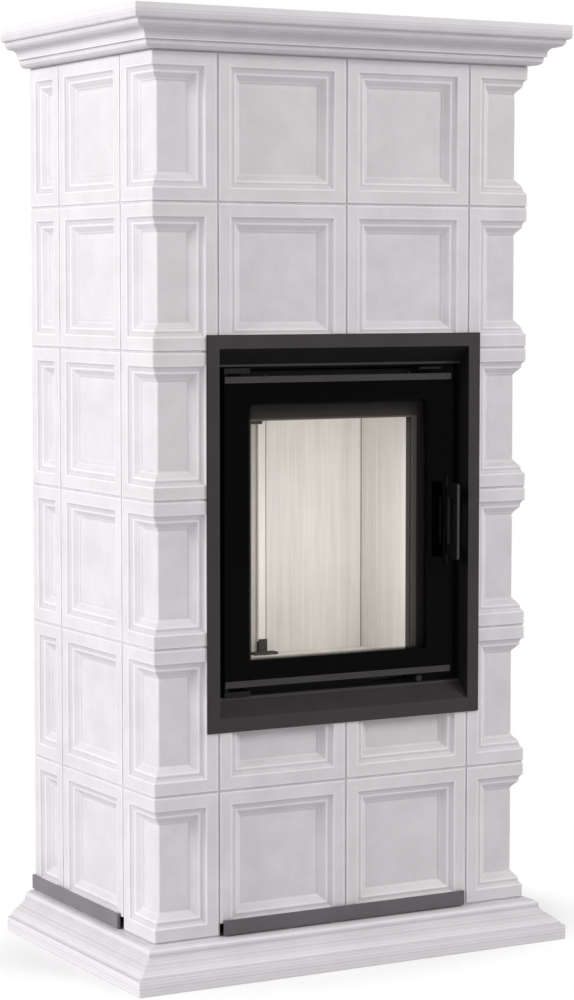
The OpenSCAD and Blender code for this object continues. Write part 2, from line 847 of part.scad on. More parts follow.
module face_plate() {
    z0 = reveal_z0 - sheet_t;
    z1 = reveal_z1 + sheet_t;
    hook_x = handle_t / 2 + hook_slot_side;
    slot_half = stem / 2 + fit;
    color("#262425") at_body() {
        difference() {
            block([-clear_half - sheet_t, face_y, z0], [clear_half + sheet_t, face_y + face_t, z1]);
            block([-fire_half, face_y - eps, fire_z0], [fire_half, face_y + face_t + eps, fire_z1]);
            block([handle_x - hook_x, face_y - eps, latch_z - hook_slot_below],
                  [handle_x + hook_x, face_y + face_t + eps, latch_z + hook_slot_above]);
            block([knob_x - slide_travel - stem, face_y - eps, knob_z - slot_half],
                  [knob_x + stem, face_y + face_t + eps, knob_z + slot_half]);
            block([-fire_half, face_y - eps, reveal_z1 - wash_top - wash_gap],
                  [fire_half, face_y + face_t + eps, reveal_z1 - wash_top]);
        }
        difference() {
            block([-fire_half - shell_t, face_y, fire_z0 - shell_t],
                  [fire_half + shell_t, shell_y0 + rim_d, fire_z1 + shell_t]);
            block([-fire_half, face_y - eps, fire_z0],
                  [fire_half, shell_y0 + rim_d + eps, fire_z1]);
        }
    }
}

module firebox_shell() {
    color("#5b5a5c") at_body() difference() {
        block([-shell_out, shell_y0, floor_z - shell_t],
              [shell_out, shell_y1 + shell_t, shell_z1 + shell_t]);
        block([-shell_in, shell_y0 - eps, floor_z], [shell_in, shell_y1, shell_z1]);
        translate([0, flue_y, shell_z1 - eps]) cylinder(r = collar_r, h = shell_t + 2 * eps);
        block([-pan_half - fit, grate_y0 + pan_in - fit, floor_z - shell_t - eps],
              [pan_half + fit, grate_y1 - pan_in + fit, floor_z + eps]);
        block([port_x1 - slide_travel + port_edge, slide_y0 + port_edge, floor_z - shell_t - eps],
              [port_x1, slide_y1 - port_edge, floor_z + eps]);
    }
}

module stand_legs() {
    z0 = foot_h - base_h;
    z1 = floor_z - shell_t;
    color("#5b5a5c") at_body() both_sides()
        for (y = [leg_y0, shell_y1 - leg_w])
            difference() {
                block([shell_out - leg_w, y, z0], [shell_out, y + leg_w, z1]);
                block([shell_out - leg_w - eps, y - eps, z0 - eps],
                      [shell_out - shell_t, y + leg_w - shell_t, z1 + eps]);
            }
}

module leg_feet() {
    color("#2b2a2b") at_body() both_sides()
        for (y = [leg_y0, shell_y1 - leg_w])
            translate([shell_out - leg_w / 2, y + leg_w / 2, -base_h]) cylinder(r = foot_r, h = foot_h);
}

module air_box() {
    half = air_box_w / 2;
    y0 = shell_y0 + air_box_set;
    y1 = shell_y1;
    z1 = floor_z - shell_t;
    color("#5b5a5c") at_body() difference() {
        block([-half, y0, air_box_z0], [half, y1, z1]);
        block([sheet_t - half, y0 + sheet_t, air_box_z0 + sheet_t],
              [half - sheet_t, y1 - sheet_t, z1 + eps]);
        translate([0, 0, air_z]) tube_hole(air_r - air_t, y1 - sheet_t - eps, y1 + eps);
    }
}

module fresh_air_pipe() {
    color("#9a9a9c") at_body() translate([0, 0, air_z])
        tube_y(air_r, air_r - air_t, shell_y1, panel_y1);
}

module rosettes() {
    y1 = panel_y1 + rosette_t;
    color("#7d7b7d") at_body() {
        translate([0, 0, flue_z]) tube_y(flue_out + rim_w, flue_out + fit, panel_y1, y1);
        translate([0, 0, air_z]) tube_y(air_r + rim_w, air_r + fit, panel_y1, y1);
    }
}

module flue_collar() {
    color("#5b5a5c") at_body() translate([0, flue_y, shell_z1 + shell_t]) {
        tube(collar_r + rim_w, collar_r, shell_t);
        translate([0, 0, shell_t]) tube(collar_r + flue_t, collar_r, collar_h - shell_t);
    }
}

// One length of the bend: a straight tube at a slant, cut to a mitre at each end. The slant is
// its angle from upright, and both cuts pass through the middle of the bend.
module bend_length(slant, from, to, inner = flue_r) {
    reach = 2 * (flue_bend + flue_out);
    intersection() {
        rotate([-slant, 0, 0]) translate([0, -flue_bend, -reach / 2]) tube(flue_out, inner, reach);
        rotate([90, 0, 90]) linear_extrude(2 * flue_out + 2 * eps, center = true)
            polygon([[0, 0], reach * [-cos(from), sin(from)], reach * [-cos(to), sin(to)]]);
    }
}

module flue_pipe() {
    z0 = shell_z1 + 2 * shell_t;
    bend_z = flue_z - flue_bend;
    half_turn = 90 / bend_lengths / 2;
    gap = bend_seam / 2;
    color("#4a484a") at_body() {
        translate([0, flue_y, z0]) tube(flue_out, flue_r, bend_z - z0);
        translate([0, flue_y + flue_bend, bend_z]) {
            bend_length(0, 0, half_turn - gap);
            for (i = [1:bend_lengths - 1])
                bend_length(2 * i * half_turn, (2 * i - 1) * half_turn + gap, (2 * i + 1) * half_turn - gap);
            bend_length(90, 90 - half_turn + gap, 90 - gap, stop_r);
        }
        translate([0, 0, flue_z]) tube_y(flue_out, flue_r, flue_y + flue_bend, panel_y1);
    }
}

// Lining of the firebox
module lining_back() {
    color("#d8d3c8") at_body() for (x = [-fire_in, seam / 2])
        block([x, fire_back, floor_z], [x + fire_in - seam / 2, shell_y1, lining_z1]);
}

module lining_sides() {
    color("#d8d3c8") at_body() both_sides() difference() {
        block([fire_in, lining_y0, floor_z], [shell_in, shell_y1, lining_z1]);
        for (back = [groove_back, groove_back + groove_pitch])
            block([fire_in - eps, fire_back - back, hearth_z],
                  [fire_in + groove_d, fire_back - back + groove_w, lining_z1 + eps]);
    }
}

module lining_floor() {
    half = grate_w / 2;
    color("#a9a49a") at_body() difference() {
        block([-fire_in, threshold_y, floor_z], [fire_in, fire_back, hearth_z]);
        block([-half, grate_y0, floor_z - eps], [half, grate_y1, hearth_z + eps]);
        block([-half - grate_ledge, grate_y0 - grate_ledge, hearth_z - grate_t],
              [half + grate_ledge, grate_y1 + grate_ledge, hearth_z + eps]);
    }
}

module lining_strip() {
    color("#e2ded4") at_body()
        block([-seam_w, fire_back - seam_t, hearth_z + clip_h],
              [0, fire_back, hearth_z + clip_h + seam_h]);
}

// Two clips hold the strip: each fills the wall's depth beyond the strip's end and laps over it.
module strip_brackets() {
    top_z = hearth_z + clip_h + seam_h;
    y0 = fire_back - seam_t;
    lap_y = y0 - clip_t;
    color("#4d4b4a") at_body() {
        block([-seam_w, lap_y, hearth_z], [0, y0, hearth_z + clip_h + clip_lap]);
        block([-seam_w, y0, hearth_z], [0, fire_back, hearth_z + clip_h]);
        block([-2 * seam_w, y0 - clip_foot, hearth_z], [seam_w - clip_t, y0, hearth_z + clip_lap]);
        block([-2 * seam_w, lap_y, top_z - clip_lap], [clip_edge - seam_w, y0, top_z + clip_h]);
        block([-2 * seam_w, y0, top_z], [clip_edge - seam_w, fire_back, top_z + clip_h]);
    }
}

module baffle() {
    color("#d8d3c8") at_body()
        block([-shell_in, shell_y0 + baffle_gap, lining_z1], [shell_in, shell_y1, lining_z1 + baffle_t]);
}

module grate() {
    half = grate_w / 2 + grate_ledge - fit;
    color("#3b3a3a") at_body() difference() {
        block([-half, grate_y0 - grate_ledge + fit, hearth_z - grate_t],
              [half, grate_y1 + grate_ledge - fit, hearth_z]);
        for (i = [0:grate_slots - 1])
            translate([(i - (grate_slots - 1) / 2) * grate_w / grate_slots, 0, 0])
                block([-grate_slot / 2, grate_y0 + grate_rim, hearth_z - grate_t - eps],
                      [grate_slot / 2, grate_y1 - grate_rim, hearth_z + eps]);
    }
}

module ash_pan() {
    y0 = grate_y0 + pan_in;
    y1 = grate_y1 - pan_in;
    color("#7b7a7a") at_body() difference() {
        union() {
            block([-pan_half, y0, floor_z - pan_h], [pan_half, y1, floor_z]);
            block([-pan_half - pan_rim, y0 - pan_rim, floor_z],
                  [pan_half + pan_rim, y1 + pan_rim, floor_z + pan_t]);
        }
        block([pan_t - pan_half, y0 + pan_t, floor_z - pan_h + pan_t],
              [pan_half - pan_t, y1 - pan_t, floor_z + pan_t + eps]);
    }
}

module threshold() {
    z1 = fire_z0 - shell_t;
    color("#4d4b4a") at_body() {
        block([-fire_in + fit, shell_y0, z1 - shell_t], [fire_in - fit, threshold_y, z1]);
        block([-fire_in + fit, threshold_y - shell_t, floor_z], [fire_in - fit, threshold_y, z1]);
    }
}

module air_wash_duct() {
    z1 = reveal_z1 + sheet_t;
    z0 = z1 - wash_h;
    y1 = shell_y0 + wash_d;
    in = fit + sheet_t;
    color("#4d4b4a") at_body() difference() {
        block([-fire_in + fit, shell_y0, z0], [fire_in - fit, y1, z1]);
        block([in - fire_in, shell_y0 - eps, z0 + sheet_t], [fire_in - in, y1 - sheet_t, z1 - sheet_t]);
        for (i = [0:wash_slots - 1])
            translate([(i - (wash_slots - 1) / 2) * wash_pitch, y1 - sheet_t - wash_slot_w, z0 - eps])
                block([-wash_slot_l / 2, -wash_slot_w, 0], [wash_slot_l / 2, 0, sheet_t + 2 * eps]);
    }
}

// Air slide under the door
module slider_guides() {
    x0 = plate_x1 - plate_len - slide_travel - guide_past;
    color("#4d4b4a") at_body() for (y = [slide_y0 - guide_gap - guide_t, slide_y1 + guide_gap])
        block([x0, y, floor_z], [plate_x1 + guide_past, y + guide_t, floor_z + guide_h]);
}

module air_slider() {
    color("#6b6a6c") at_body() {
        block([plate_x1 - plate_len, slide_y0, floor_z], [plate_x1, slide_y1, floor_z + shell_t]);
        block([plate_x1 - stem, slide_y0, floor_z], [plate_x1, slide_y0 + stem, knob_z + stem / 2]);
        block([plate_x1 - stem, face_y - stem_out, knob_z - stem / 2],
              [plate_x1, slide_y0 + stem, knob_z + stem / 2]);
    }
}

module slider_knob() {
    color("#39363a") at_body() translate([knob_x, face_y - stem_out, knob_z]) rotate([90, 0, 0])
        cylinder(r = knob_r, h = knob_l);
}

// Brackets on the insert's front plate
module bracket(z0, z1) {
    difference() {
        block([hinge_x - hinge_in, glass_y0, z0], [hinge_x - hinge_in + bracket_l, face_y, z1]);
        translate([hinge_x, hinge_y, z0 - eps]) cylinder(r = pin_r + run_fit, h = z1 - z0 + 2 * eps);
    }
}

module door_brackets() {
    color("#4a474a") at_body() {
        bracket(top_bracket_z0, top_bracket_z0 + bracket_t);
        bracket(reveal_z0, low_bracket_z1);
        block([fire_half, glass_y0, reveal_z1 - stop_drop - stop_t],
              [fire_half + stop_w, face_y, reveal_z1 - stop_drop]);
    }
}

module keeper() {
    gap = handle_t / 2 + keeper_side;
    reach = gap + ear_t;
    y0 = face_y + face_t;
    color("#77757a") at_body() translate([handle_x, 0, latch_z]) {
        for (x = [-reach, gap])
            block([x, y0, -keeper_half], [x + ear_t, y0 + keeper_d, keeper_half]);
        translate([-reach, keeper_y, 0]) rotate([0, 90, 0]) cylinder(r = keeper_r, h = 2 * reach);
    }
}

// Door
module ring_outline(out) {
    r = rope_bend + out;
    x = rope_half + out - r;
    z0 = rope_z0 - out + r;
    z1 = rope_z1 + out - r;
    translate([-x - r, z0]) square([2 * (x + r), z1 - z0]);
    translate([-x, z0 - r]) square([2 * x, z1 - z0 + 2 * r]);
    for (px = [-x, x], pz = [z0, z1]) translate([px, pz]) circle(r = r);
}

// A flat ring that follows the rope, between two distances from the rope's middle.
module rope_ring(inner, outer, y0, y1) {
    translate([0, y1, 0]) rotate([90, 0, 0]) linear_extrude(y1 - y0) difference() {
        ring_outline(outer);
        ring_outline(inner);
    }
}

module rail_tab(x, z0, z1) {
    block([x - tab_half, plate_y0, z0], [x + tab_half, plate_y1 + fold, z1]);
}

module door_frame() {
    hook_x = handle_t / 2 + eps;
    color("#1d1b1c") at_body() difference() {
        union() {
            translate([0, plate_y1, 0]) rotate([90, 0, 0]) linear_extrude(door_plate_t) difference() {
                translate([-door_half + fit, glass_z0])
                    square([2 * (door_half - fit), glass_z1 - glass_z0]);
                ring_outline(-rope_out - rib_t);
            }
            rope_ring(-rope_out - rib_t, -rope_out, plate_y1 - eps, plate_y1 + rib_h);
            rope_ring(rope_out, rope_out + rib_t, plate_y1 - eps, plate_y1 + rib_h);
            for (x = [ear_x0, door_half - ear_t])
                block([x, plate_y0, latch_z - ear_half], [x + ear_t, lever_y + fold, latch_z + ear_half]);
            translate([hinge_x, hinge_y, top_boss_z]) cylinder(r = boss_r, h = boss_l);
            translate([hinge_x, hinge_y, low_boss_z]) cylinder(r = boss_r, h = boss_l);
            for (x = [-screw_top_x, screw_top_x]) rail_tab(x, glass_z1 - top_tab_h, glass_z1);
            for (x = [-screw_low_x, screw_low_x]) rail_tab(x, glass_z0, glass_z0 + low_tab_h);
        }
        block([handle_x - hook_x, glass_y0 - eps, latch_z - notch_half],
              [handle_x + hook_x, plate_y1 + eps, latch_z + notch_half]);
        translate([ear_x0 - eps, lever_y, latch_z]) rotate([0, 90, 0])
            cylinder(r = lever_pin_r + press_gap, h = 2 * handle_in + 2 * eps);
        for (z = [top_boss_z, low_boss_z])
            translate([hinge_x, hinge_y, z - eps]) cylinder(r = pin_r + press_gap, h = boss_l + 2 * eps);
        for (x = [-screw_top_x, screw_top_x])
            translate([x, screw_y, glass_z1 - top_tab_h + eps]) cylinder(r = thread_hole_r, h = top_tab_h);
        for (x = [-screw_low_x, screw_low_x])
            translate([x, screw_y, glass_z0 - eps]) cylinder(r = thread_hole_r, h = low_tab_h + 2 * eps);
    }
}

module door_glass() {
    color([0.04, 0.04, 0.045, 0.6]) at_body() difference() {
        block([-door_half + fit, glass_y0, glass_z0], [door_half - fit, glass_y1, glass_z1]);
        block([notch_x, glass_y0 - eps, latch_z - notch_half],
              [door_half + eps, glass_y1 + eps, latch_z + notch_half]);
    }
}

module glass_tape() {
    color("#3a3838") at_body() rope_ring(tape_in - rope_out - rib_t, rope_out - tape_in, glass_y1, plate_y0);
}

module door_gasket() {
    x = rope_half - rope_bend;
    z0 = rope_z0 + rope_bend;
    z1 = rope_z1 - rope_bend;
    color("#6f6a62") at_body() translate([0, rope_y, 0]) {
        for (px = [-rope_half, rope_half])
            translate([px, 0, z0]) cylinder(r = rope_r, h = z1 - z0);
        for (pz = [rope_z0, rope_z1])
            translate([-x, 0, pz]) rotate([0, 90, 0]) cylinder(r = rope_r, h = 2 * x);
        for (turn = [[x, z1, 0], [-x, z1, 90], [-x, z0, 180], [x, z0, 270]])
            translate([turn[0], 0, turn[1]]) rotate([90, 0, 0]) rotate([0, 0, turn[2]])
                rotate_extrude(angle = 90) translate([rope_bend, 0]) circle(r = rope_r);
    }
}

// The rail is a folded strip: a front leg, and a leg that laps over the edge of the door frame.
module glass_rail() {
    fold_x = -door_half + 2 * hinge_in + fit;
    along_x([[door_y, 0], [plate_y1 + fold, 0], [plate_y1 + fold, rail_t], [door_y + rail_t, rail_t],
             [door_y + rail_t, rail_h], [door_y, rail_h]], fold_x, door_half);
    block([-door_half, door_y, 0], [fold_x, door_y + rail_t, rail_h]);
}

module rail_with_holes(screw_x) {
    difference() {
        glass_rail();
        for (x = [-screw_x, screw_x])
            translate([x, screw_y, -eps]) cylinder(r = thread_hole_r, h = rail_t + 2 * eps);
    }
}

module glass_rails() {
    color("#434044") at_body() {
        translate([0, 0, door_z0]) rail_with_holes(screw_low_x);
        translate([0, 0, door_z1]) mirror([0, 0, 1]) rail_with_holes(screw_top_x);
    }
}

// A rail screw, with the underside of its head at the origin and its thread going up.
module rail_screw(length) {
    translate([0, 0, -rail_screw_h]) cylinder(r = rail_screw_r, h = rail_screw_h);
    translate([0, 0, -eps / 2]) cylinder(r = thread_r, h = length + eps / 2);
}

module rail_screws() {
    color("#6b6a6c") at_body() {
        for (x = [-screw_top_x, screw_top_x])
            translate([x, screw_y, door_z1]) mirror([0, 0, 1]) rail_screw(top_tab_h);
        for (x = [-screw_low_x, screw_low_x])
            translate([x, screw_y, door_z0]) rail_screw(rail_t + low_tab_h);
    }
}

module hinge_pins() {
    top_z1 = top_bracket_z0 + bracket_t - fit;
    low_z0 = reveal_z0 + fit;
    color("#9a999c") at_body() {
        translate([hinge_x, hinge_y, top_boss_z]) cylinder(r = pin_r, h = top_z1 - top_boss_z);
        translate([hinge_x, hinge_y, low_z0]) cylinder(r = pin_r, h = low_boss_z + boss_l - low_z0);
    }
}

module hinge_washer() {
    color("#b08d4a") at_body() translate([hinge_x, hinge_y, low_bracket_z1])
        tube(boss_r + washer_rim / 2, pin_r + run_fit, washer_t);
}

module lever_washers() {
    gap = handle_in - ear_t - handle_t / 2;
    color("#b08d4a") at_body() translate([handle_x, lever_y, latch_z])
        for (x = [-gap - handle_t / 2, handle_t / 2])
            tube_x(lever_pin_r + washer_rim, lever_pin_r + run_fit, x + washer_gap, x + gap - washer_gap);
}

// Handle: a flat plate with a finger slot, a boss on the pin and a hook under the keeper
function handle_outline() = let (
        front = -handle_out - lever_y, back = front + handle_d, half = handle_h / 2,
        neck = lever_boss - 1, hook_in = keeper_y - lever_y + keeper_r + hook_gap,
        hook_out = hook_in + hook_t)
    [[front, half - 2], [front + 2, half], [back - 7, half], [back, half - 10], [back, neck + 5],
     [-neck, neck], [neck, neck], [neck + 2, -3], [hook_in - 1, -neck - 1], [hook_in, 1 - neck],
     [hook_in, hook_rise], [hook_out, hook_rise], [hook_out, -2 * neck - 1], [neck + 1, -2 * neck - 1],
     [0, -neck - 2], [-neck, -neck - 1], [back, -neck - 5], [back, 10 - half], [back - 7, -half],
     [front + 2, -half], [front, 2 - half]];

module handle_lever() {
    color("#2b292b") at_body()
        translate([handle_x - handle_t / 2, lever_y, latch_z]) rotate([90, 0, 90])
            linear_extrude(handle_t) difference() {
                polygon(handle_outline());
                translate([slot_in - handle_out - lever_y, -slot_h / 2]) square([slot_d, slot_h]);
                circle(r = lever_pin_r + run_fit);
            }
}

module lever_pin() {
    color("#9a999c") at_body() translate([ear_x0, lever_y, latch_z]) rotate([0, 90, 0])
        cylinder(r = lever_pin_r, h = 2 * handle_in);
}

base_front();
base_left();
base_right();
cornice_front();
cornice_left();
cornice_right();
corner_tiles();
front_tiles_upper();
front_tiles_cut();
front_tiles_bottom();
side_tiles();
half_tiles();
tile_joints();
side_boards();
front_board_upper();
front_board_lower();
back_panel();
top_slab();
top_grille();
back_screws();
vent_strip_front();
vent_strips_side();
strip_spacers();
tile_lintel();
insert_frame();
face_plate();
firebox_shell();
stand_legs();
leg_feet();
air_box();
fresh_air_pipe();
rosettes();
flue_collar();
flue_pipe();
lining_back();
lining_sides();
lining_floor();
lining_strip();
strip_brackets();
baffle();
grate();
ash_pan();
threshold();
air_wash_duct();
slider_guides();
door_brackets();
keeper();
door_frame();
door_glass();
glass_tape();
door_gasket();
glass_rails();
rail_screws();
hinge_pins();
hinge_washer();
handle_lever();
lever_pin();
lever_washers();
air_slider();
slider_knob();
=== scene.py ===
# %% [markdown]
# Dressing a tiled fireplace.
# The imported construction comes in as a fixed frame: one node for each kind of part, in its real
# place and size. It could be painted as it stands, but its edges are sharp and its tiles all
# alike. So the pieces that show are made anew below, each worked out from the place of its node,
# and nothing has to be fitted by eye afterwards.

import json
import math

import bmesh
import bpy
import numpy as np
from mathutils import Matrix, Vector


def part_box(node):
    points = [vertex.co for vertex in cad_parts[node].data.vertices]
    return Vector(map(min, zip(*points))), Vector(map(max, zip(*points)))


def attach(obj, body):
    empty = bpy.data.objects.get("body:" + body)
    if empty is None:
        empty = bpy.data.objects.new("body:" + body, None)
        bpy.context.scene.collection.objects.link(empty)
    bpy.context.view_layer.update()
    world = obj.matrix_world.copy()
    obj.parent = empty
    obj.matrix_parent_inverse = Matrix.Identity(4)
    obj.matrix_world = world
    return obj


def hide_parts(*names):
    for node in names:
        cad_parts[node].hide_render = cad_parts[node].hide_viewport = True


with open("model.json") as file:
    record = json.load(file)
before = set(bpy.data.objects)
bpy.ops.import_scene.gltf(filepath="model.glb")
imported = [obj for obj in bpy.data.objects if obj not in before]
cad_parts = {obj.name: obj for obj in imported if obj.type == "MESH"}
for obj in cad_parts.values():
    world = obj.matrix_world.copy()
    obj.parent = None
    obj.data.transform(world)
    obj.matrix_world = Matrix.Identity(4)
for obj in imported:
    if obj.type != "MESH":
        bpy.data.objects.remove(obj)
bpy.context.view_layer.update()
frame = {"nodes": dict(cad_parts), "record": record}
nodes = frame["nodes"]
MM = 0.001

# %% [markdown]
# One function turns a hex colour, as a designer writes it, into the linear numbers that a
# renderer mixes. One more adds a node to a material with its settings and its links, so each
# recipe below reads as a list of what feeds what.

# %% Colours and nodes
def linear(code):
    """The sRGB curve, undone: a short straight stretch near black, then a power of 2.4."""
    s = np.array([int(code[i:i + 2], 16) for i in (1, 3, 5)]) / 255
    out = np.where(s <= 0.04045, s / 12.92, ((s + 0.055) / 1.055) ** 2.4)
    return (*out.tolist(), 1.0)


def add(tree, kind, inputs=None, **settings):
    made = tree.nodes.new(kind)
    for name, value in settings.items():
        setattr(made, name, value)
    for socket, value in (inputs or {}).items():
        if isinstance(value, bpy.types.NodeSocket):
            tree.links.new(value, made.inputs[socket])
        else:
            made.inputs[socket].default_value = value
    return made


def start_material(name):
    """A new material with its shader, and the object's own coordinates to draw patterns by."""
    made = bpy.data.materials.new(name)
    made.use_nodes = True
    tree = made.node_tree
    shader = tree.nodes["Principled BSDF"]
    where = add(tree, "ShaderNodeTexCoord").outputs["Object"]
    return made, tree, shader, where


def set_shader(shader, **values):
    for name, value in values.items():
        shader.inputs[name.replace("_", " ")].default_value = value


# %% [markdown]
# Glazed stove tile. The body is fired clay, and the cream white glaze on it has run while it
# melted: it lies thin and pale on the arrises and thick, a little grey, in the hollows. So
# each tile carries two numbers at every point: "pool", how thick the glaze lies there, and
# "firing", how its batch came out of the kiln. Its slow waves, about 15 mm apart, are a bump.
# Base and cornice are drawn through a template, which leaves fine lines along them. They carry
# a third number, "drawn", the distance along their profile in millimetres, so the lines follow
# the moulding round its mitres.

# %% Glaze
THIN_GLAZE, THICK_GLAZE = "#e6e3e6", "#a8a2a7"
# The sizes of the glaze's cloudy patches and of its waves
CLOUDS = 60 * MM
WAVES = 15 * MM
# Pin pricks in a glaze are a tenth of this, but finer ones than this wouldn't show.
PITS = 1.2 * MM
# The template's lines, in millimetres along the profile. Real ones are half a millimetre apart;
# at 4 mm the picture can still show them.
DRAWN_LINES = 4.0


def make_glaze(name, pale, grey, thick, drawn):
    """thick is how strongly the glaze greys in the hollows. Each layer below is a value, where
    it starts and ends to count, how far it covers, and its tone."""
    made, tree, shader, where = start_material(name)
    pool = add(tree, "ShaderNodeAttribute", attribute_name="pool").outputs["Fac"]
    firing = add(tree, "ShaderNodeAttribute", attribute_name="firing").outputs["Fac"]
    clouds = add(tree, "ShaderNodeTexNoise", {"Vector": where, "Scale": 1 / CLOUDS, "Detail": 4.0,
                                              "Roughness": 0.6}).outputs["Fac"]
    layers = [(clouds, 0.38, 0.64, 1.0, grey), (firing, 0, 1, 0.25, "#cdc9c9"),
              (pool, 0, 1, thick, THICK_GLAZE), (pool, 0, -1, 0.6, THIN_GLAZE)]
    waves = add(tree, "ShaderNodeTexNoise", {"Vector": where, "Scale": 1 / WAVES, "Detail": 1.5})
    pits = add(tree, "ShaderNodeTexNoise", {"Vector": where, "Scale": 1 / PITS, "Detail": 2.0})
    low = add(tree, "ShaderNodeBump", {"Height": waves.outputs["Fac"], "Strength": 0.35,
                                       "Distance": 0.0008})
    fine = add(tree, "ShaderNodeBump", {"Height": pits.outputs["Fac"], "Strength": 0.05,
                                        "Distance": 0.0002, "Normal": low.outputs["Normal"]})
    if drawn:
        along = add(tree, "ShaderNodeAttribute", attribute_name="drawn").outputs["Fac"]
        lines = add(tree, "ShaderNodeTexNoise", {"W": along, "Scale": 1 / DRAWN_LINES, "Detail": 3.0},
                    noise_dimensions="1D").outputs["Fac"]
        layers.append((lines, 0.42, 0.66, 0.35, THICK_GLAZE))
        fine = add(tree, "ShaderNodeBump", {"Height": lines, "Strength": 0.4, "Distance": 0.0005,
                                            "Normal": fine.outputs["Normal"]})
    colour = linear(pale)
    for value, start, full, cover, tone in layers:
        amount = add(tree, "ShaderNodeMapRange", {"Value": value, "From Min": start,
                                                  "From Max": full, "To Max": cover})
        colour = add(tree, "ShaderNodeMix", {0: amount.outputs["Result"], 6: colour,
                                             7: linear(tone)}, data_type="RGBA").outputs[2]
    tree.links.new(colour, shader.inputs["Base Color"])
    tree.links.new(fine.outputs["Normal"], shader.inputs["Normal"])
    sheen = add(tree, "ShaderNodeMapRange", {"Value": clouds, "To Min": 0.34, "To Max": 0.46})
    tree.links.new(sheen.outputs["Result"], shader.inputs["Roughness"])
    set_shader(shader, IOR=1.52, Specular_IOR_Level=0.22)
    return made


# The tiles' glaze is poured on and fired: glassy white, cloudy, and grey where it pooled.
glaze = make_glaze("white_tile_glaze", "#d5d2d5", "#cdcacd", 0.4, False)
# The mouldings' glaze is a shade deeper and more even, and fine lines run under it.
drawn_glaze = make_glaze("white_moulding_glaze", "#d1ced1", "#c9c6c9", 0.12, True)
print("mixed", glaze.name, "and", drawn_glaze.name)

# %% [markdown]
# The plain finishes share one pattern: a base colour broken up by two noises, one for the
# unevenness of the sheet or board and one for its grain. What changes from one to the next is
# the colour pair, the grain's real size and how much it stands up. A paint's or a plating's
# grain is a few tenths of a millimetre. It is drawn about 1 mm wide, so that it still shows.

# %% Grained finishes
def make_grained(name, light, dark, patch, grain, relief, rough, stretch=(1, 1, 1), **values):
    """patch and grain are feature sizes in metres, and relief is the grain's height."""
    made, tree, shader, where = start_material(name)
    run = add(tree, "ShaderNodeMapping", {"Vector": where, "Scale": stretch}).outputs["Vector"]
    large = add(tree, "ShaderNodeTexNoise", {"Vector": run, "Scale": 1 / patch, "Detail": 4.0})
    small = add(tree, "ShaderNodeTexNoise", {"Vector": run, "Scale": 1 / grain, "Detail": 2.0})
    both = add(tree, "ShaderNodeMix", {0: 0.4, 2: large.outputs["Fac"], 3: small.outputs["Fac"]})
    spread = add(tree, "ShaderNodeMapRange",
                 {"Value": both.outputs[0], "From Min": 0.35, "From Max": 0.65})
    colour = add(tree, "ShaderNodeMix", {0: spread.outputs["Result"], 6: linear(light),
                                         7: linear(dark)}, data_type="RGBA")
    tree.links.new(colour.outputs[2], shader.inputs["Base Color"])
    sheen = add(tree, "ShaderNodeMapRange", {"Value": large.outputs["Fac"], "To Min": rough - 0.06,
                                             "To Max": rough + 0.06})
    tree.links.new(sheen.outputs["Result"], shader.inputs["Roughness"])
    bump = add(tree, "ShaderNodeBump", {"Height": small.outputs["Fac"], "Strength": 0.5,
                                        "Distance": relief})
    tree.links.new(bump.outputs["Normal"], shader.inputs["Normal"])
    set_shader(shader, **values)
    return made


# %% [markdown]
# The mineral parts first. Mortar, pressed board and wall paint are dull all over. They are told
# apart by their tone and their grain alone.

# %% Mineral finishes
# Joint mortar is rubbed in damp and dries chalky: hardly any shine, and a sandy grain.
mortar = make_grained("joint_mortar", "#d0cccf", "#bfbbbe", 0.03, 0.0014, 0.0006, 0.92)
# Calcium silicate board is pressed from lime, sand and fibre: off-white, dusty, soft-looking.
fibre_board = make_grained("calcium_silicate_board", "#d9d4ca", "#c9c3b8", 0.12, 0.003, 0.0003, 0.9)
# The slab on top is rolled with matt wall paint: the glaze's tone, without its gloss.
slab_paint = make_grained("matt_slab_paint", "#d8d5d8", "#cecbce", 0.06, 0.0015, 0.0002, 0.95,
                          Specular_IOR_Level=0.05)
print("mineral finishes:", mortar.name, fibre_board.name, slab_paint.name)

# %% [markdown]
# Sheet steel near a fire is sprayed with stove paint, a silicone paint that the first fire
# bakes hard. It is matt and finely pebbled. Its gloss is set below that of a plain plastic
# surface, because the pebbles scatter what a flat film would mirror. The tones differ by place:
# the outer faces are dark grey, what lies deeper is blacker, and in the reveal that is painted
# shade.

# %% Paints
def sprayed(name, light, dark, rough, gloss, patch=0.05, grain=0.0011, relief=0.00012):
    """A paint. gloss is 0.5 for a plain plastic surface."""
    return make_grained(name, light, dark, patch, grain, relief, rough, Specular_IOR_Level=gloss)


# Rails and grille: dark grey, with a soft gleam along edges that face the light.
stove_paint = sprayed("anthracite_stove_paint", "#3b373a", "#343033", 0.55, 0.2)
# The front of the frame: the same paint, a shade deeper.
frame_paint = sprayed("anthracite_frame_paint", "#363235", "#302c2f", 0.55, 0.2)
# The slanted reveal: the same paint, darkened as painted shade, and without its gleam.
shaded_reveal_paint = sprayed("stove_paint_in_painted_shade", "#141213", "#0f0d0e", 0.65, 0.1)
# The sill of the reveal: paler again, as painted light on the face that turns up to it. The knob over
# it takes the same paint.
lit_sill_paint = sprayed("stove_paint_in_painted_light", "#302d2f", "#292628", 0.6, 0.15)
# The front plate behind the door: soot makes it a dull brown black.
plate_paint = sprayed("sooty_stove_paint", "#1a1817", "#121110", 0.7, 0.15, 0.04, 0.0012, 0.00015)
# Door frame, brackets, feet and flue: plain black, to disappear behind the glass.
black_paint = sprayed("black_stove_paint", "#131112", "#0c0b0c", 0.6, 0.15, 0.05, 0.0012, 0.00015)
# The handle: black again, on a finer ground, as smooth as paint gets.
grip_paint = sprayed("black_handle_paint", "#0b0a0b", "#070607", 0.55, 0.12, 0.02, 0.0012, 0.00008)
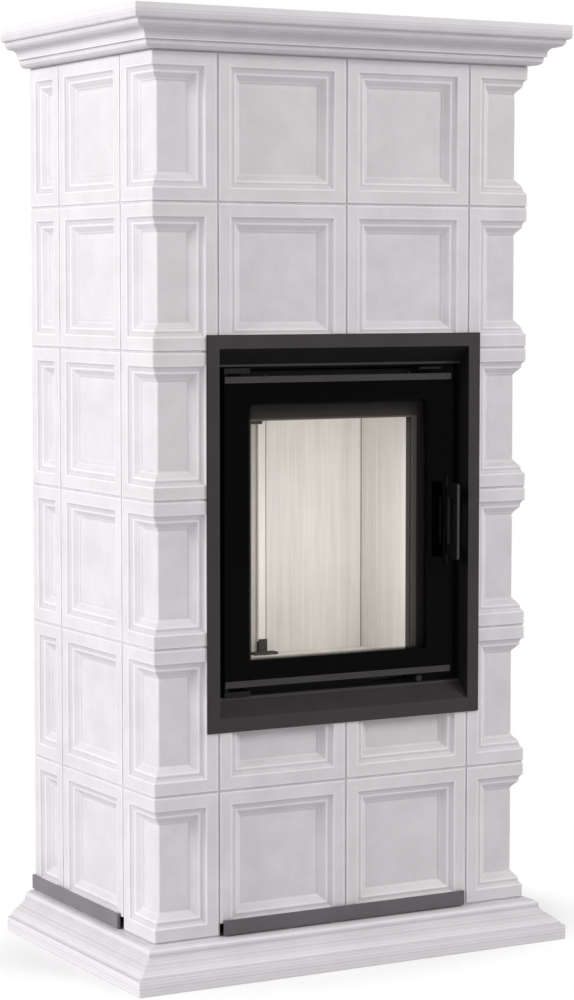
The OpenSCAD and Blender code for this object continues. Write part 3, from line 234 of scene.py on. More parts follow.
# The front vent strip is powder coated: melted on, so smoother and with a wider gleam.
strip_paint = sprayed("anthracite_powder_coat", "#5e595d", "#545053", 0.45, 0.35, 0.06, 0.0011, 0.0001)
# The side strips are coated alike, but made paler as painted light, for the brighter light on the
# sides.
lit_side_strip_paint = sprayed("powder_coat_lit_on_sides", "#787377", "#6f6b71", 0.45, 0.35, 0.06, 0.0011, 0.0001)
print("paints from", stove_paint.name, "to", lit_side_strip_paint.name)

# %% [markdown]
# Bare and plated metal takes its look from what it mirrors, so its colour is the colour of its
# reflections. Rolling, plating, casting and burning each leave their own grain and dullness.

# %% Metals
# Cold rolled sheet comes flat from the rollers: grey, with faint upright streaks.
rolled_steel = make_grained("cold_rolled_steel", "#8e8e91", "#7b7b7e", 0.05, 0.0015, 0.00005, 0.38,
                            (1, 1, 0.15), Metallic=1.0)
# Zinc is plated on in a bath: bright, bluish, with a fine mottle.
zinc_plate = make_grained("zinc_plated_steel", "#c3c4c8", "#a9abb0", 0.01, 0.0012, 0.00004, 0.3,
                          Metallic=1.0)
# Screws and washers by the fire are blackened in a hot bath: dark, with a metal's gleam.
black_oxide = make_grained("blackened_screw_steel", "#2b2a2b", "#1f1e1f", 0.01, 0.0008, 0.00003, 0.35,
                           Metallic=1.0)
# The grate is cast in sand, and keeps the sand's skin: dark, coarse and half dull.
grey_iron = make_grained("sand_cast_grey_iron", "#3f3d3d", "#2d2b2b", 0.02, 0.0016, 0.0004, 0.6,
                         Metallic=0.6)
# The clips in the fire have scaled: a brownish crust with little metal left to see.
clip_steel = make_grained("scaled_clip_steel", "#4b4845", "#343230", 0.008, 0.0018, 0.0003, 0.7,
                          Metallic=0.4)
print("metals:", rolled_steel.name, zinc_plate.name, black_oxide.name, grey_iron.name, clip_steel.name)

# %% [markdown]
# Glass fibre is white when new. In the seal of a stove door it is smoked grey, and it has no
# gleam, because its threads lie in every direction.

# %% Fibres
# Rope: a warm, smoky grey.
rope_yarn = make_grained("glass_fibre_rope", "#5a554e", "#3a3733", 0.012, 0.0009, 0.0003, 0.85)
# Tape: woven flat, and graphite grey.
flat_tape = make_grained("glass_fibre_tape", "#3c3a38", "#2c2a29", 0.01, 0.0010, 0.0002, 0.85)
print("fibres:", rope_yarn.name, flat_tape.name)

# %% [markdown]
# Some finishes change from place to place: light and shade are painted into them, and the
# lining has dark joints. A picture could be painted for that. Here a mask is worked out from the
# object's own coordinates instead, so it stays at its real place in millimetres, and another tone
# is laid over the finish by it.

# %% Masks
def lay_over(material, tone, mask_of):
    """Blends another tone over a finish where mask_of, worked out from the object's own
    coordinates, comes near 1."""
    tree = material.node_tree
    shader = tree.nodes["Principled BSDF"]
    where = add(tree, "ShaderNodeTexCoord").outputs["Object"]
    under = shader.inputs["Base Color"].links[0].from_socket
    mixed = add(tree, "ShaderNodeMix", {0: mask_of(tree, where), 6: under, 7: linear(tone)},
                data_type="RGBA")
    tree.links.new(mixed.outputs[2], shader.inputs["Base Color"])


def inside(tree, where, axis, low, high, soft):
    """1 where the coordinate lies between low and high, falling to 0 over the width soft."""
    value = add(tree, "ShaderNodeSeparateXYZ", {"Vector": where}).outputs[axis]
    ends = [add(tree, "ShaderNodeMapRange", {"Value": value, "From Min": none, "From Max": full})
            for none, full in ((low - soft, low), (high + soft, high))]
    return add(tree, "ShaderNodeMath", {0: ends[0].outputs["Result"], 1: ends[1].outputs["Result"]},
               operation="MINIMUM").outputs[0]


def inside_all(tree, where, *limits):
    """The smallest of several inside masks, each given as axis, low, high and soft."""
    mask = inside(tree, where, *limits[0])
    for limit in limits[1:]:
        mask = add(tree, "ShaderNodeMath", {0: mask, 1: inside(tree, where, *limit)},
                   operation="MINIMUM").outputs[0]
    return mask


def near_upright(tree, where, x, y, radius):
    """1 on the upright line through (x, y), falling to 0 at the radius."""
    flat = add(tree, "ShaderNodeVectorMath", {0: where, 1: (1, 1, 0)}, operation="MULTIPLY")
    away = add(tree, "ShaderNodeVectorMath", {0: flat.outputs[0], 1: (x, y, 0)}, operation="DISTANCE")
    return add(tree, "ShaderNodeMapRange", {"Value": away.outputs["Value"], "From Min": radius,
                                            "From Max": 0.35 * radius}).outputs["Result"]


# %% [markdown]
# Vermiculite lining board is pressed from flakes of mica. It is cream, dull, and faintly
# streaked upright where the press pulled it, so its noise is stretched along Z. Where two boards
# meet there is a dark line. Along the fibre strip's right edge, where it stands proud of the
# board, a dark line is painted shadow.

# %% Lining
# Half the width of the dark line at a joint, and of the painted shadow line at the strip's edge
JOINT_LINE = 1.6 * MM
STRIP_SHADOW_LINE = 1.8 * MM
# The lining boards are rough and warm white, and take all the glare out of the fire's light.
lining = make_grained("vermiculite_board", "#e6e3de", "#d6d2cb", 0.02, 0.0035, 0.0004, 0.85,
                      (1, 1, 0.03))
# The strip is of ceramic fibre: paler than the boards and just as dull.
warm_strip = make_grained("ceramic_fibre_strip", "#efece6", "#e2ded7", 0.02, 0.0035, 0.0003, 0.85,
                          (1, 1, 0.03))
back_low, back_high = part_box("lining_back")
strip_low, strip_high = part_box("lining_strip")
for x in (-1, 1):
    lay_over(lining, "#6e6963", lambda tree, where, x=x: near_upright(
        tree, where, x * back_high.x, back_low.y, JOINT_LINE))
# Painted shadow: a dark line along the strip's right edge, where it stands proud of the board.
lay_over(warm_strip, "#77726b", lambda tree, where: near_upright(
    tree, where, strip_high.x - 0.6 * MM, strip_low.y, STRIP_SHADOW_LINE))
print("board joints at x =", round(back_high.x, 4), "on either side")

# %% [markdown]
# Light and shade painted into finishes. The front plate's black paint is painted lighter where it
# is seen through the glass, as painted light, and lighter still in a narrow band round the fire
# opening, a painted highlight that is stronger at the sides than on top. The handle's front edge
# carries a painted highlight. Beside the cream strip, on its left, the back board is darker with
# painted shade.

# %% Painted light and shade on the plate, the handle and the lining
# Half the width of the opening in the front plate, and the band of painted highlight round it
FIRE_HALF = 145 * MM
HIGHLIGHT_BAND = 7.5 * MM
# The plate's painted light reaches this far beside the opening, and ends this far below the
# top of the glass rails
PAINTED_LIGHT_SIDE = 30 * MM
PAINTED_LIGHT_TOP = 32 * MM
HIGHLIGHT_EDGE_WIDTH = 3 * MM
SHADE_BESIDE_STRIP = 30 * MM
plate_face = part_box("face_plate")[0].y
rail_low, rail_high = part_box("glass_rails")
# The opening starts over the lower rail's foot and ends over the top of the cream strip.
fire_low, fire_high = rail_low.z + 20 * MM, strip_high.z + 18 * MM
grip_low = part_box("handle_lever")[0]
highlight_edge_from = grip_low.x + 0.3 * MM
painted_light_width = ("X", -FIRE_HALF - PAINTED_LIGHT_SIDE, FIRE_HALF + PAINTED_LIGHT_SIDE, 4 * MM)
highlight_band_width = ("X", -FIRE_HALF - HIGHLIGHT_BAND, FIRE_HALF + HIGHLIGHT_BAND, 1.5 * MM)
on_face = ("Y", plate_face - MM, plate_face + 2.2 * MM, 0.8 * MM)

# Painted light: the plate is lighter where it is seen through the window.
lay_over(plate_paint, "#33302e", lambda tree, where: inside_all(
    tree, where, painted_light_width, ("Z", fire_low, rail_high.z - PAINTED_LIGHT_TOP, 4 * MM)))
# Painted highlight in a narrow band round the fire opening, faint on top.
lay_over(plate_paint, "#363331", lambda tree, where: inside_all(
    tree, where, highlight_band_width, ("Z", fire_low, fire_high + HIGHLIGHT_BAND, 1.5 * MM), on_face))
# A stronger painted highlight in the same band, at its sides only.
lay_over(plate_paint, "#6b655f", lambda tree, where: inside_all(
    tree, where, highlight_band_width, ("Z", fire_low, fire_high - 4 * MM, 3 * MM), on_face))
# Painted highlight along the front edge of the handle.
lay_over(grip_paint, "#433f3e", lambda tree, where: inside_all(
    tree, where, ("X", highlight_edge_from, highlight_edge_from + HIGHLIGHT_EDGE_WIDTH, 0.5 * MM),
    ("Y", grip_low.y - MM, grip_low.y + 0.6 * MM, 0.5 * MM)))
# Painted shade on the back board, left of the cream strip.
lay_over(lining, "#c2bdb5", lambda tree, where: inside(
    tree, where, "X", strip_low.x - SHADE_BESIDE_STRIP, strip_low.x, 14 * MM))
# The printed "bleached band" is the band of painted highlight, and "sooty from" is where the painted
# shade beside the strip ends.
print("bleached band up to", round(fire_high + HIGHLIGHT_BAND, 4), "sooty from", round(strip_low.x, 4))

# %% [markdown]
# Glass ceramic door pane. It is clear in the window and printed black all round it. The print
# is a mask on the pane's own coordinates: outside the window the glass is opaque and black,
# inside it lets nearly all light through. Towards the window the print ends in a field of
# dots, too fine to see singly, so its edge is a short fade.

# %% Glass
# Width of the black print at the sides and at the ends, measured from the rails' ends, and of
# the field of dots inside it
PRINT_SIDE = 41.7 * MM
PRINT_END = 38.6 * MM
DOTS = 7 * MM
SMEARS = 50 * MM
window_half = rail_high.x - PRINT_SIDE
window_low = rail_low.z + PRINT_END
window_high = rail_high.z - PRINT_END


def make_glass():
    """Clear inside the window but for a slight haze, black where either distance from the
    window's middle, sideways or up, has passed the window's edge."""
    made, tree, shader, where = start_material("printed_glass_ceramic")
    axes = add(tree, "ShaderNodeSeparateXYZ", {"Vector": where})
    half = (window_high - window_low) / 2
    middle = (window_high + window_low) / 2
    side = add(tree, "ShaderNodeMath", {0: axes.outputs["X"]}, operation="ABSOLUTE")
    raised = add(tree, "ShaderNodeMath", {0: axes.outputs["Z"], 1: middle}, operation="SUBTRACT")
    end = add(tree, "ShaderNodeMath", {0: raised.outputs[0]}, operation="ABSOLUTE")
    masks = [add(tree, "ShaderNodeMapRange",
                 {"Value": value.outputs[0], "From Min": edge - DOTS, "From Max": edge})
             for value, edge in ((side, window_half), (end, half))]
    printed = add(tree, "ShaderNodeMath", {0: masks[0].outputs["Result"],
                                           1: masks[1].outputs["Result"]}, operation="MAXIMUM")
    smear = add(tree, "ShaderNodeTexNoise", {"Vector": where, "Scale": 1 / SMEARS, "Detail": 3.0})
    haze = add(tree, "ShaderNodeMapRange",
               {"Value": smear.outputs["Fac"], "To Min": 0.01, "To Max": 0.05})
    cover = add(tree, "ShaderNodeMath", {0: printed.outputs[0], 1: haze.outputs["Result"]},
                operation="MAXIMUM")
    tree.links.new(cover.outputs[0], shader.inputs["Alpha"])
    gloss = add(tree, "ShaderNodeMapRange",
                {"Value": smear.outputs["Fac"], "To Min": 0.04, "To Max": 0.07})
    tree.links.new(gloss.outputs["Result"], shader.inputs["Roughness"])
    set_shader(shader, Base_Color=linear("#030203"), IOR=1.53, Specular_IOR_Level=0.032)
    return made


# Glass ceramic is rolled flat and fired again. It looks clear, and mirrors the room faintly.
glass = make_glass()
print("window", round(2 * window_half, 4), "by", round(window_high - window_low, 4))

# %% [markdown]
# Every surface worked out below becomes an object the same way: its points and its faces go
# into a mesh, points that fall together are merged, and the faces are turned outwards. A tile
# that was sawn off at an opening is made whole first and cut to its height here.

# %% From arrays to pieces
# Points closer than this are one, in metres.
WELD = 1e-6
body_of = {node: body for body, members in frame["record"]["behaviour"]["bodies"].items()
           for node in members}


def saw(shape, height, keep_above):
    """Cuts a closed shape at a height, keeps one side and closes the cut with a flat face."""
    everything = shape.verts[:] + shape.edges[:] + shape.faces[:]
    cut = bmesh.ops.bisect_plane(shape, geom=everything, plane_co=(0, 0, height),
                                 plane_no=(0, 0, 1), clear_inner=keep_above,
                                 clear_outer=not keep_above)
    rim = [part for part in cut["geom_cut"] if isinstance(part, bmesh.types.BMEdge)]
    bmesh.ops.edgenet_fill(shape, edges=rim)


def make_piece(name, node, points, faces, finish, values=None, crease=35, heights=None):
    """points in metres. The piece stands for the node, and takes its body. heights
    are the lowest and highest that the node goes: a longer shape is sawn off there."""
    mesh = bpy.data.meshes.new(name)
    mesh.from_pydata(points.reshape(-1, 3).tolist(), [], faces)
    for key, value in (values or {}).items():
        layer = mesh.attributes.new(key, "FLOAT", "POINT")
        layer.data.foreach_set("value", np.ascontiguousarray(value, np.float32).ravel())
    shape = bmesh.new()
    shape.from_mesh(mesh)
    bmesh.ops.remove_doubles(shape, verts=shape.verts, dist=WELD)
    bmesh.ops.recalc_face_normals(shape, faces=shape.faces)
    if heights:
        reach = (min(v.co.z for v in shape.verts), max(v.co.z for v in shape.verts))
        if heights[0] > reach[0] + MM:
            saw(shape, heights[0], True)
        if heights[1] < reach[1] - MM:
            saw(shape, heights[1], False)
    shape.to_mesh(mesh)
    shape.free()
    mesh.shade_smooth()
    mesh.set_sharp_from_angle(angle=math.radians(crease))
    mesh.materials.append(finish)
    return enter(name, mesh, node)


def enter(name, mesh, node):
    """Puts a finished mesh into the scene in its node's stead."""
    piece = bpy.data.objects.new(name, mesh)
    bpy.context.scene.collection.objects.link(piece)
    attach(piece, body_of[node])
    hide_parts(node)
    return piece


def grid_faces(rows, columns, start=0, closed=False):
    """Quads of a grid whose points run along the columns first. closed joins the last column
    to the first."""
    i, j = np.meshgrid(np.arange(rows - 1), np.arange(columns if closed else columns - 1),
                       indexing="ij")
    here = start + i * columns + j
    beside = start + i * columns + (j + 1) % columns
    return np.stack([here, beside, beside + columns, here + columns], -1).reshape(-1, 4).tolist()


def bar_faces(rows, columns):
    """The faces of a bar: a closed outline at several stations, and a flat face at either end."""
    first, last = range(columns), range((rows - 1) * columns, rows * columns)
    return grid_faces(rows, columns, closed=True) + [list(first), list(last)]


# %% [markdown]
# A stove tile. Its face is a border, a small step, a fillet, a hollow moulding and a sunk
# panel. The real one is pressed in a mould, so every arris is round. All of it is one profile,
# carried round the tile's rectangle with mitred corners: a grid of rings, each at its own
# distance in from the edge and depth below the face. Carving the steps out of a block would
# give the same outline, but hard edges.

# %% Tile profile
# All in millimetres: the flat border, the first step's depth, where the panel starts and how
# deep it lies, the tile's thickness and the rounding of its edges
BORDER = 20.0
STEP_DEPTH = 5.0
PANEL_INSET = 43.5
PANEL_DEPTH = 15.0
THICKNESS = 36.0
ARRIS = 1.6


def round_turn(start, corner, end, count=5):
    """A quadratic curve that leaves start towards corner and arrives at end."""
    t = np.linspace(0, 1, count)[:, None]
    a, b, c = (np.array(p, float) for p in (start, corner, end))
    return (1 - t) ** 2 * a + 2 * t * (1 - t) * b + t * t * c


def tile_profile():
    """Rows of inset, depth and glaze thickness, from the tile's back to its panel, in mm: border,
    hollow step, narrow fillet, straight chamfer, quirk and panel."""
    foot, lip, heel = BORDER + 7.0, BORDER + 10.8, BORDER + 19.6
    step, panel, inset = STEP_DEPTH, PANEL_DEPTH, PANEL_INSET
    turns = [
        (((0, THICKNESS), (0, THICKNESS), (0, ARRIS)), 3, 0.0),
        (((0, ARRIS), (0, 0), (ARRIS, 0)), 5, -0.7),
        (((4, 0), (10, 0.2), (BORDER - 2, 0)), 4, 0.0),
        (((BORDER - 0.8, 0), (BORDER, 0), (BORDER + 0.7, 0.8)), 4, -1.0),
        (((BORDER + 1.3, 1.7), (BORDER + 2.6, 3.8), (foot - 2.2, step - 0.7)), 5, 0.4),
        (((foot - 1.4, step - 0.4), (foot - 0.4, step), (foot + 0.8, step)), 3, 0.8),
        (((lip - 0.9, step), (lip, step), (lip + 0.6, step + 0.6)), 4, -1.0),
        (((lip + 1.4, step + 1.3), (lip + 4, step + 3.5), (heel - 0.6, panel - 2.6)), 4, 0.0),
        (((heel, panel - 2.1), (heel + 0.4, panel - 1.8), (heel + 1.2, panel - 1.7)), 3, -0.4),
        (((heel + 1.9, panel - 1.2), (inset - 1.6, panel), (inset + 0.5, panel)), 4, 0.35),
        (((inset + 2.5, panel - 0.1), (inset + 4.5, panel - 0.3), (inset + 6, panel - 0.4)), 2, 0.0)]
    curves = [round_turn(*points, count) for points, count, glazed in turns]
    pools = [np.full(count, glazed) for points, count, glazed in turns]
    return np.column_stack([np.concatenate(curves), np.concatenate(pools)])


PROFILE = tile_profile()
print("tile profile of", len(PROFILE), "rings")

# %% [markdown]
# A corner tile is the same thing folded. A ring runs level along one leg, turns round the
# corner on a small radius at its own depth, and runs back along the other leg. The stations
# along a leg crowd near its ends, so that a mitre stays a crisp line under smooth shading. A
# fired face is never quite flat, so slow waves are added to its depth.

# %% One tile
FOLD = 2.5
LINE_STATIONS = 15
# Height in millimetres of each of the four waves of a fired face, and the range of their lengths
WAVE_HEIGHT = 0.09
WAVE_LENGTHS = (60, 140)
# The waves are full on the face and die away over 20 mm, 6 mm before the back.
WAVES_FADE = 20.0
WAVES_END = 6.0


def stations(count):
    """Shares from 0 to 1, close together near both ends."""
    even = np.linspace(0, 1, count - 4)
    return np.concatenate([[0, 0.006, 0.03], even[1:-1], [0.97, 0.994, 1]])


def face_waves(along, up, seed):
    """The sum of four slow sine waves of random direction, length and phase."""
    draw = np.random.default_rng(seed)
    shortest, longest = WAVE_LENGTHS
    turn, length, phase = draw.uniform((0, shortest, 0), (math.tau, longest, math.tau), (4, 3)).T
    angle = (along[..., None] * np.cos(turn) + up[..., None] * np.sin(turn)) * math.tau / length
    return WAVE_HEIGHT * np.sin(angle + phase).sum(-1)


def level_line(inset, depth, width, folded):
    """x and y of the stations of a level line over the tile, one row for each inset and depth.
    Flat: x goes from the inset to the width less the inset, and y is the depth. Folded: down
    one leg at x = depth, a quarter turn, and out along the other leg at y = depth."""
    along = stations(LINE_STATIONS)
    if not folded:
        x = inset + (width - 2 * inset) * along
        return x, depth + 0 * x
    start = depth + FOLD
    leg = start + (width - inset - start) * along
    side = depth + 0 * leg
    turn = np.linspace(0, math.pi / 2, 5)[1:-1]
    x = np.concatenate([side, start - FOLD * np.cos(turn), leg], 1)
    y = np.concatenate([leg[:, ::-1], start - FOLD * np.sin(turn), side], 1)
    return x, y


def tile_mesh(width, height, seed, folded=False):
    """Points in mm, faces, and glaze thickness. The rings go along the bottom line, up the
    right edge, back along the top and down the left edge; the panel and the back are filled
    with level lines."""
    inset, depth, pool = (PROFILE[:, i][:, None] for i in range(3))
    x, y = level_line(inset, depth, width, folded)
    up = stations(LINE_STATIONS)
    rise = inset + (height - 2 * inset) * up
    low = np.stack([x, y, inset + 0 * x], -1)
    top = np.stack([x, y, height - inset + 0 * x], -1)[:, ::-1]
    right = np.stack([x[:, -1:] + 0 * rise, y[:, -1:] + 0 * rise, rise], -1)
    left = np.stack([x[:, :1] + 0 * rise, y[:, :1] + 0 * rise, rise], -1)[:, ::-1]
    rings = np.concatenate([side[:, :-1] for side in (low, right, top, left)], 1)
    points = [rings.reshape(-1, 3)]
    pools = [np.repeat(pool, rings.shape[1], 1).ravel()]
    faces = grid_faces(*rings.shape[:2], closed=True)
    for row in (-1, 0):
        lines = np.stack(np.broadcast_arrays(x[row], y[row], rise[row][:, None]), -1)
        faces += grid_faces(*lines.shape[:2], start=sum(map(len, points)))
        points.append(lines.reshape(-1, 3))
        pools.append(np.full(lines.shape[0] * lines.shape[1], 0.1))
    points, pools = np.concatenate(points), np.concatenate(pools)
    deep = points[:, :2].min(1) if folded else points[:, 1]
    waves = face_waves(points[:, 0] + points[:, 1], points[:, 2], seed)
    waves *= np.clip((THICKNESS - WAVES_END - deep) / WAVES_FADE, 0, 1)
    points[:, 1] += waves
    points[:, 0] += waves * folded
    return points, faces, pools


print("one tile has", len(tile_mesh(220, 220, 1)[0]), "points")

# %% [markdown]
# The tiles stand in six rows on the base, in a grid of 220 mm tiles with 3 mm joints. A corner
# tile and a half tile are as wide as half of one less half a joint, so every row ends the same
# way at the wall. Each tile is a piece of its own, with its own waves and its own firing, because
# no two come alike out of the kiln. Where a row is sawn off, the height of its node says where.

# %% All tiles
TILE = 220.0
JOINT = 3.0
PITCH = TILE + JOINT
HALF = (TILE - JOINT) / 2
ROWS = 6
corner_low, corner_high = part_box("corner_tiles")
front_y, side_x, first_row = corner_low.y, corner_high.x, corner_low.z


def onto_front(points, left):
    """From the tile's own axes to the front, with its near edge at x = left."""
    return points * MM + (left, front_y, 0)


def onto_side(points, near, hand):
    """From the tile's own axes to the right side (hand 1) or the left side (hand -1)."""
    turned = points[:, [1, 0, 2]] * (-hand, 1, 1) * MM
    return turned + (hand * side_x, front_y + near, 0)


def onto_corner(points, hand):
    """The folded tile's corner goes to the front corner on the right (1) or the left (-1)."""
    return points * (-hand, 1, 1) * MM + (hand * side_x, front_y, 0)


def lay_tile(name, node, place, where, width, row, folded=False):
    """place is one of the three functions above, and where its numbers. The name and the row
    give the tile its own random numbers."""
    seed = sum(map(ord, name)) * 31 + row
    points, faces, pools = tile_mesh(width, TILE, seed, folded)
    points = place(points, *where)
    points[:, 2] += first_row + row * PITCH * MM
    firing = np.full(len(points), np.random.default_rng(seed).random())
    low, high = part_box(node)
    return make_piece(f"{name}_{row + 1}", node, points, faces, glaze,
                      {"pool": pools, "firing": firing}, heights=(low.z, high.z))


front_nodes = {0: "front_tiles_bottom", 1: "front_tiles_cut",
               ROWS - 2: "front_tiles_upper", ROWS - 1: "front_tiles_upper"}
laid = []
for row in range(ROWS):
    for hand, side in ((-1, "left"), (1, "right")):
        laid.append(lay_tile(f"corner_tile_{side}", "corner_tiles", onto_corner, (hand,), HALF,
                             row, True))
        near = (HALF + JOINT) * MM
        laid.append(lay_tile(f"side_tile_{side}", "side_tiles", onto_side, (near, hand), TILE, row))
        near += PITCH * MM
        laid.append(lay_tile(f"half_tile_{side}", "half_tiles", onto_side, (near, hand), HALF, row))
        if row in front_nodes:
            left = (JOINT / 2 if hand > 0 else -JOINT / 2 - TILE) * MM
            laid.append(lay_tile(f"front_tile_{side}", front_nodes[row], onto_front, (left,),
                                 TILE, row))
print(len(laid), "tiles of", len(laid[0].data.polygons), "faces")

# %% [markdown]
# Base and cornice are glazed mouldings, drawn through a template. Their profile is a chain of
# corners and quarter rounds. Every sharp corner is eased a little, as clay always is, and each
# point knows whether the glaze thins out over it or pools in it. A Bevel modifier could ease the
# corners too, but it would not say where the glaze pools.

# %% Moulding profiles
# In millimetres: how far out from the faces of the tiles, and how far up from the top of the
# base or from the foot of the cornice
BASE = [(-36, -64), (50, -64), (50, -40.5), (44.8, -40.2), (43.6, -35.8), (33, -27), (22.6, -19.2),
        (19, -14.5), (18.6, -8.6), (17.2, -5.6), (14, -3.4), (9.4, -1.8), (4, -0.7), (0, 0), (-36, 0)]
CORNICE = [(-36, 0), (9, 8.5, 8.5, -90), (17.5, 12.5), (21.5, 12.5), (31.5, 17.5, 10, 180),
           (33.5, 27.5), (33.5, 37.5, 9.5, -90), (43, 39.3), (45, 44.5, 5, -90), (50, 62), (-36, 62)]


def chain(outline, steps=9):
    """The outline's corners as they are. Four numbers are an arc: centre, radius and the angle
    where it starts. It turns a quarter, and a cove, which starts at 180, turns backwards."""
    points = []
    for item in outline:
        if len(item) == 2:
            points.append(np.array([item], float))
            continue
        turn = -90 if item[3] == 180 else 90
        angles = np.radians(np.linspace(item[3], item[3] + turn, steps))
        points.append(np.array(item[:2]) + item[2] * np.column_stack([np.cos(angles), np.sin(angles)]))
    return np.concatenate(points)


def eased(points, radius=0.9, steps=4):
    """Corners that turn by more than 25 degrees become short quadratic curves, and the others
    stay one point. Also gives the glaze thickness: thin over an outward corner, thick in an
    inward one. The turn is the angle between the edges that meet, from their cross product."""
    before, after = np.roll(points, 1, 0) - points, np.roll(points, -1, 0) - points
    lengths = np.linalg.norm(before, axis=1), np.linalg.norm(after, axis=1)
    cross = before[:, 0] * after[:, 1] - before[:, 1] * after[:, 0]
    turn = np.degrees(np.arcsin(np.clip(cross / (lengths[0] * lengths[1]), -1, 1)))
    turn = np.where((before * after).sum(1) > 0, np.sign(turn) * 90, turn)
    sharp = np.abs(turn) >= 25
    cut = np.minimum(radius, 0.4 * np.minimum(*lengths)) * sharp
    start, end = (points + edge * (cut / length)[:, None]
                  for edge, length in ((before, lengths[0]), (after, lengths[1])))
    t = np.linspace(0, 1, steps)[:, None, None]
    curves = (1 - t) ** 2 * start + 2 * t * (1 - t) * points + t * t * end
    kept = sharp[:, None] | (np.arange(steps) == 0)
    pools = np.broadcast_to((np.sign(turn) * sharp)[:, None], kept.shape)
    return curves.transpose(1, 0, 2)[kept], pools[kept]


for label, outline in (("base", BASE), ("cornice", CORNICE)):
    print(label, "profile of", len(eased(chain(outline))[0]), "points")

# %% [markdown]
# The profile is now carried along the walls. The front length ends in mitres, where every point
# goes as far sideways as it stands out: that is what a mitre is. The side lengths start with
# the same mitre and end square at the wall. A drawn length sways a little between its ends as
# it dries, so the slow waves of the tiles are used again.

# %% Mouldings
STEPS = 48
SWAY_ROOT = 30.0
wall_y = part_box("base_left")[1].y


def sweep(outline, bottom, side):
    """Every profile point (out, up) runs from one end of its length to the other. At the front
    it goes from x = -(half width + out) to +(half width + out), at y = front - out. At a side it
    goes from the mitre, y = front - out, to the wall, at x = half width + out. It sways only
    inwards, and not at all SWAY_ROOT millimetres behind the tiles' faces."""
    profile, pools = eased(chain(outline))
    steps = np.linalg.norm(np.diff(profile, axis=0, prepend=profile[:1]), axis=1)
    out, up = (profile[None, :, i] * MM for i in (0, 1))
    share = np.linspace(0, 1, STEPS)[:, None]
    if side == 0:
        x, y = (2 * share - 1) * (side_x + out), front_y - out + 0 * share
    else:
        x, y = side * (side_x + out) + 0 * share, front_y - out + (wall_y - front_y + out) * share
    z = bottom + up + 0 * share
    sway = np.minimum(face_waves((x + y) / MM, z / MM, 7 + side), 0) * MM
    sway *= np.clip((out / MM + SWAY_ROOT) / SWAY_ROOT, 0, 1)
    if side == 0:
        y = y - sway
    else:
        x = x + sway * side
    return np.stack([x, y, z], -1), {"pool": np.broadcast_to(pools, x.shape),
                                     "drawn": np.broadcast_to(np.cumsum(steps), x.shape),
                                     "firing": np.full(x.shape, 0.5)}


def run_moulding(name, node, outline, bottom, side):
    """The swept grid of one length, with a flat face at either end."""
    points, numbers = sweep(outline, bottom, side)
    faces = bar_faces(*points.shape[:2])
    return make_piece(name, node, points, faces, drawn_glaze, numbers)


base_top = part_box("base_front")[1].z
cornice_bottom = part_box("cornice_front")[0].z
for side, word in ((0, "front"), (-1, "left"), (1, "right")):
    run_moulding(f"base_moulding_{word}", f"base_{word}", BASE, base_top, side)
    run_moulding(f"cornice_moulding_{word}", f"cornice_{word}", CORNICE, cornice_bottom, side)
print("base top at", round(base_top, 4), "cornice from", round(cornice_bottom, 4))

# %% [markdown]
# Folded, sawn and cast parts keep the shape that the construction gives them. Their edges
# can't stay as sharp as a drawing, though: an edge that catches no light looks like paper. So
# each is copied, its loose triangles are merged into whole faces, and a bevel rounds every edge
# by a fraction of a millimetre, as folding, sawing and painting do.

# %% Rounded edges
BEVEL_STEPS = 2
SHARP_ANGLE = math.radians(35)
ONE_PLANE = math.radians(0.4)


def merged_copy(node, one_plane=None):
    """The node's mesh with its loose triangles joined. Faces that lie within the angle one_plane
    of each other become one."""
    mesh = nodes[node].data.copy()
    shape = bmesh.new()
    shape.from_mesh(mesh)
    bmesh.ops.remove_doubles(shape, verts=shape.verts, dist=WELD)
    if one_plane:
        bmesh.ops.dissolve_limit(shape, angle_limit=one_plane, verts=shape.verts, edges=shape.edges)
    shape.to_mesh(mesh)
    shape.free()
    return mesh


def soften(node, finish, width):
    """width in millimetres. The second modifier turns the shading of large faces flat again,
    which a bevel alone would leave slightly pillowed."""
    mesh = merged_copy(node, ONE_PLANE)
    mesh.shade_smooth()
    mesh.materials.clear()
    mesh.materials.append(finish)
    piece = enter(f"{node}_finished", mesh, node)
    bevel = piece.modifiers.new("rounded edges", "BEVEL")
    bevel.width = width * MM
    bevel.segments = BEVEL_STEPS
    bevel.limit_method = "ANGLE"
    bevel.angle_limit = SHARP_ANGLE
    flat = piece.modifiers.new("flat faces stay flat", "WEIGHTED_NORMAL")
    flat.weight = 100
    return piece


def soften_all(finish, widths):
    """widths gives each node the width of its rounded edges, in millimetres."""
    made = [soften(node, finish, width) for node, width in widths.items()]
    print(finish.name, "on", len(made), "pieces")
    return made


# %% [markdown]
# The insert's frame, its glass rails and its handle are folded from 2 to 3 mm sheet and sprayed
# with matt stove paint. The frame is one piece with three tones: its front, the slanted reveal in
# painted shade and the sill in painted light. Cutting it up would open seams, so each face gets
# its tone by where it points.

# %% Frame, rails and handle
def read_out(items, key, width=3, kind=float):
    """One row of numbers for each of a mesh's points, edges or faces."""
    values = np.empty(len(items) * width, kind)
    items.foreach_get(key, values)
    return values.reshape(-1, width)


def paint_shade_in_reveal(piece, inner, sill):
    """The faces behind the frame's front that don't point forwards get the inner tone, painted
    shade, and those of them that face up get the sill's, painted light."""
    faces = piece.data.polygons
    normals, centres = read_out(faces, "normal"), read_out(faces, "center")
    behind = (normals[:, 1] > -0.9) & (centres[:, 1] > front_y - 2 * MM)
    tone = np.where(behind, np.where(normals[:, 2] > 0.5, 2, 1), 0)
    for finish in (inner, sill):
        piece.data.materials.append(finish)
    faces.foreach_set("material_index", tone.astype(np.int32))
    print(int(behind.sum()), "faces of the reveal are darker")


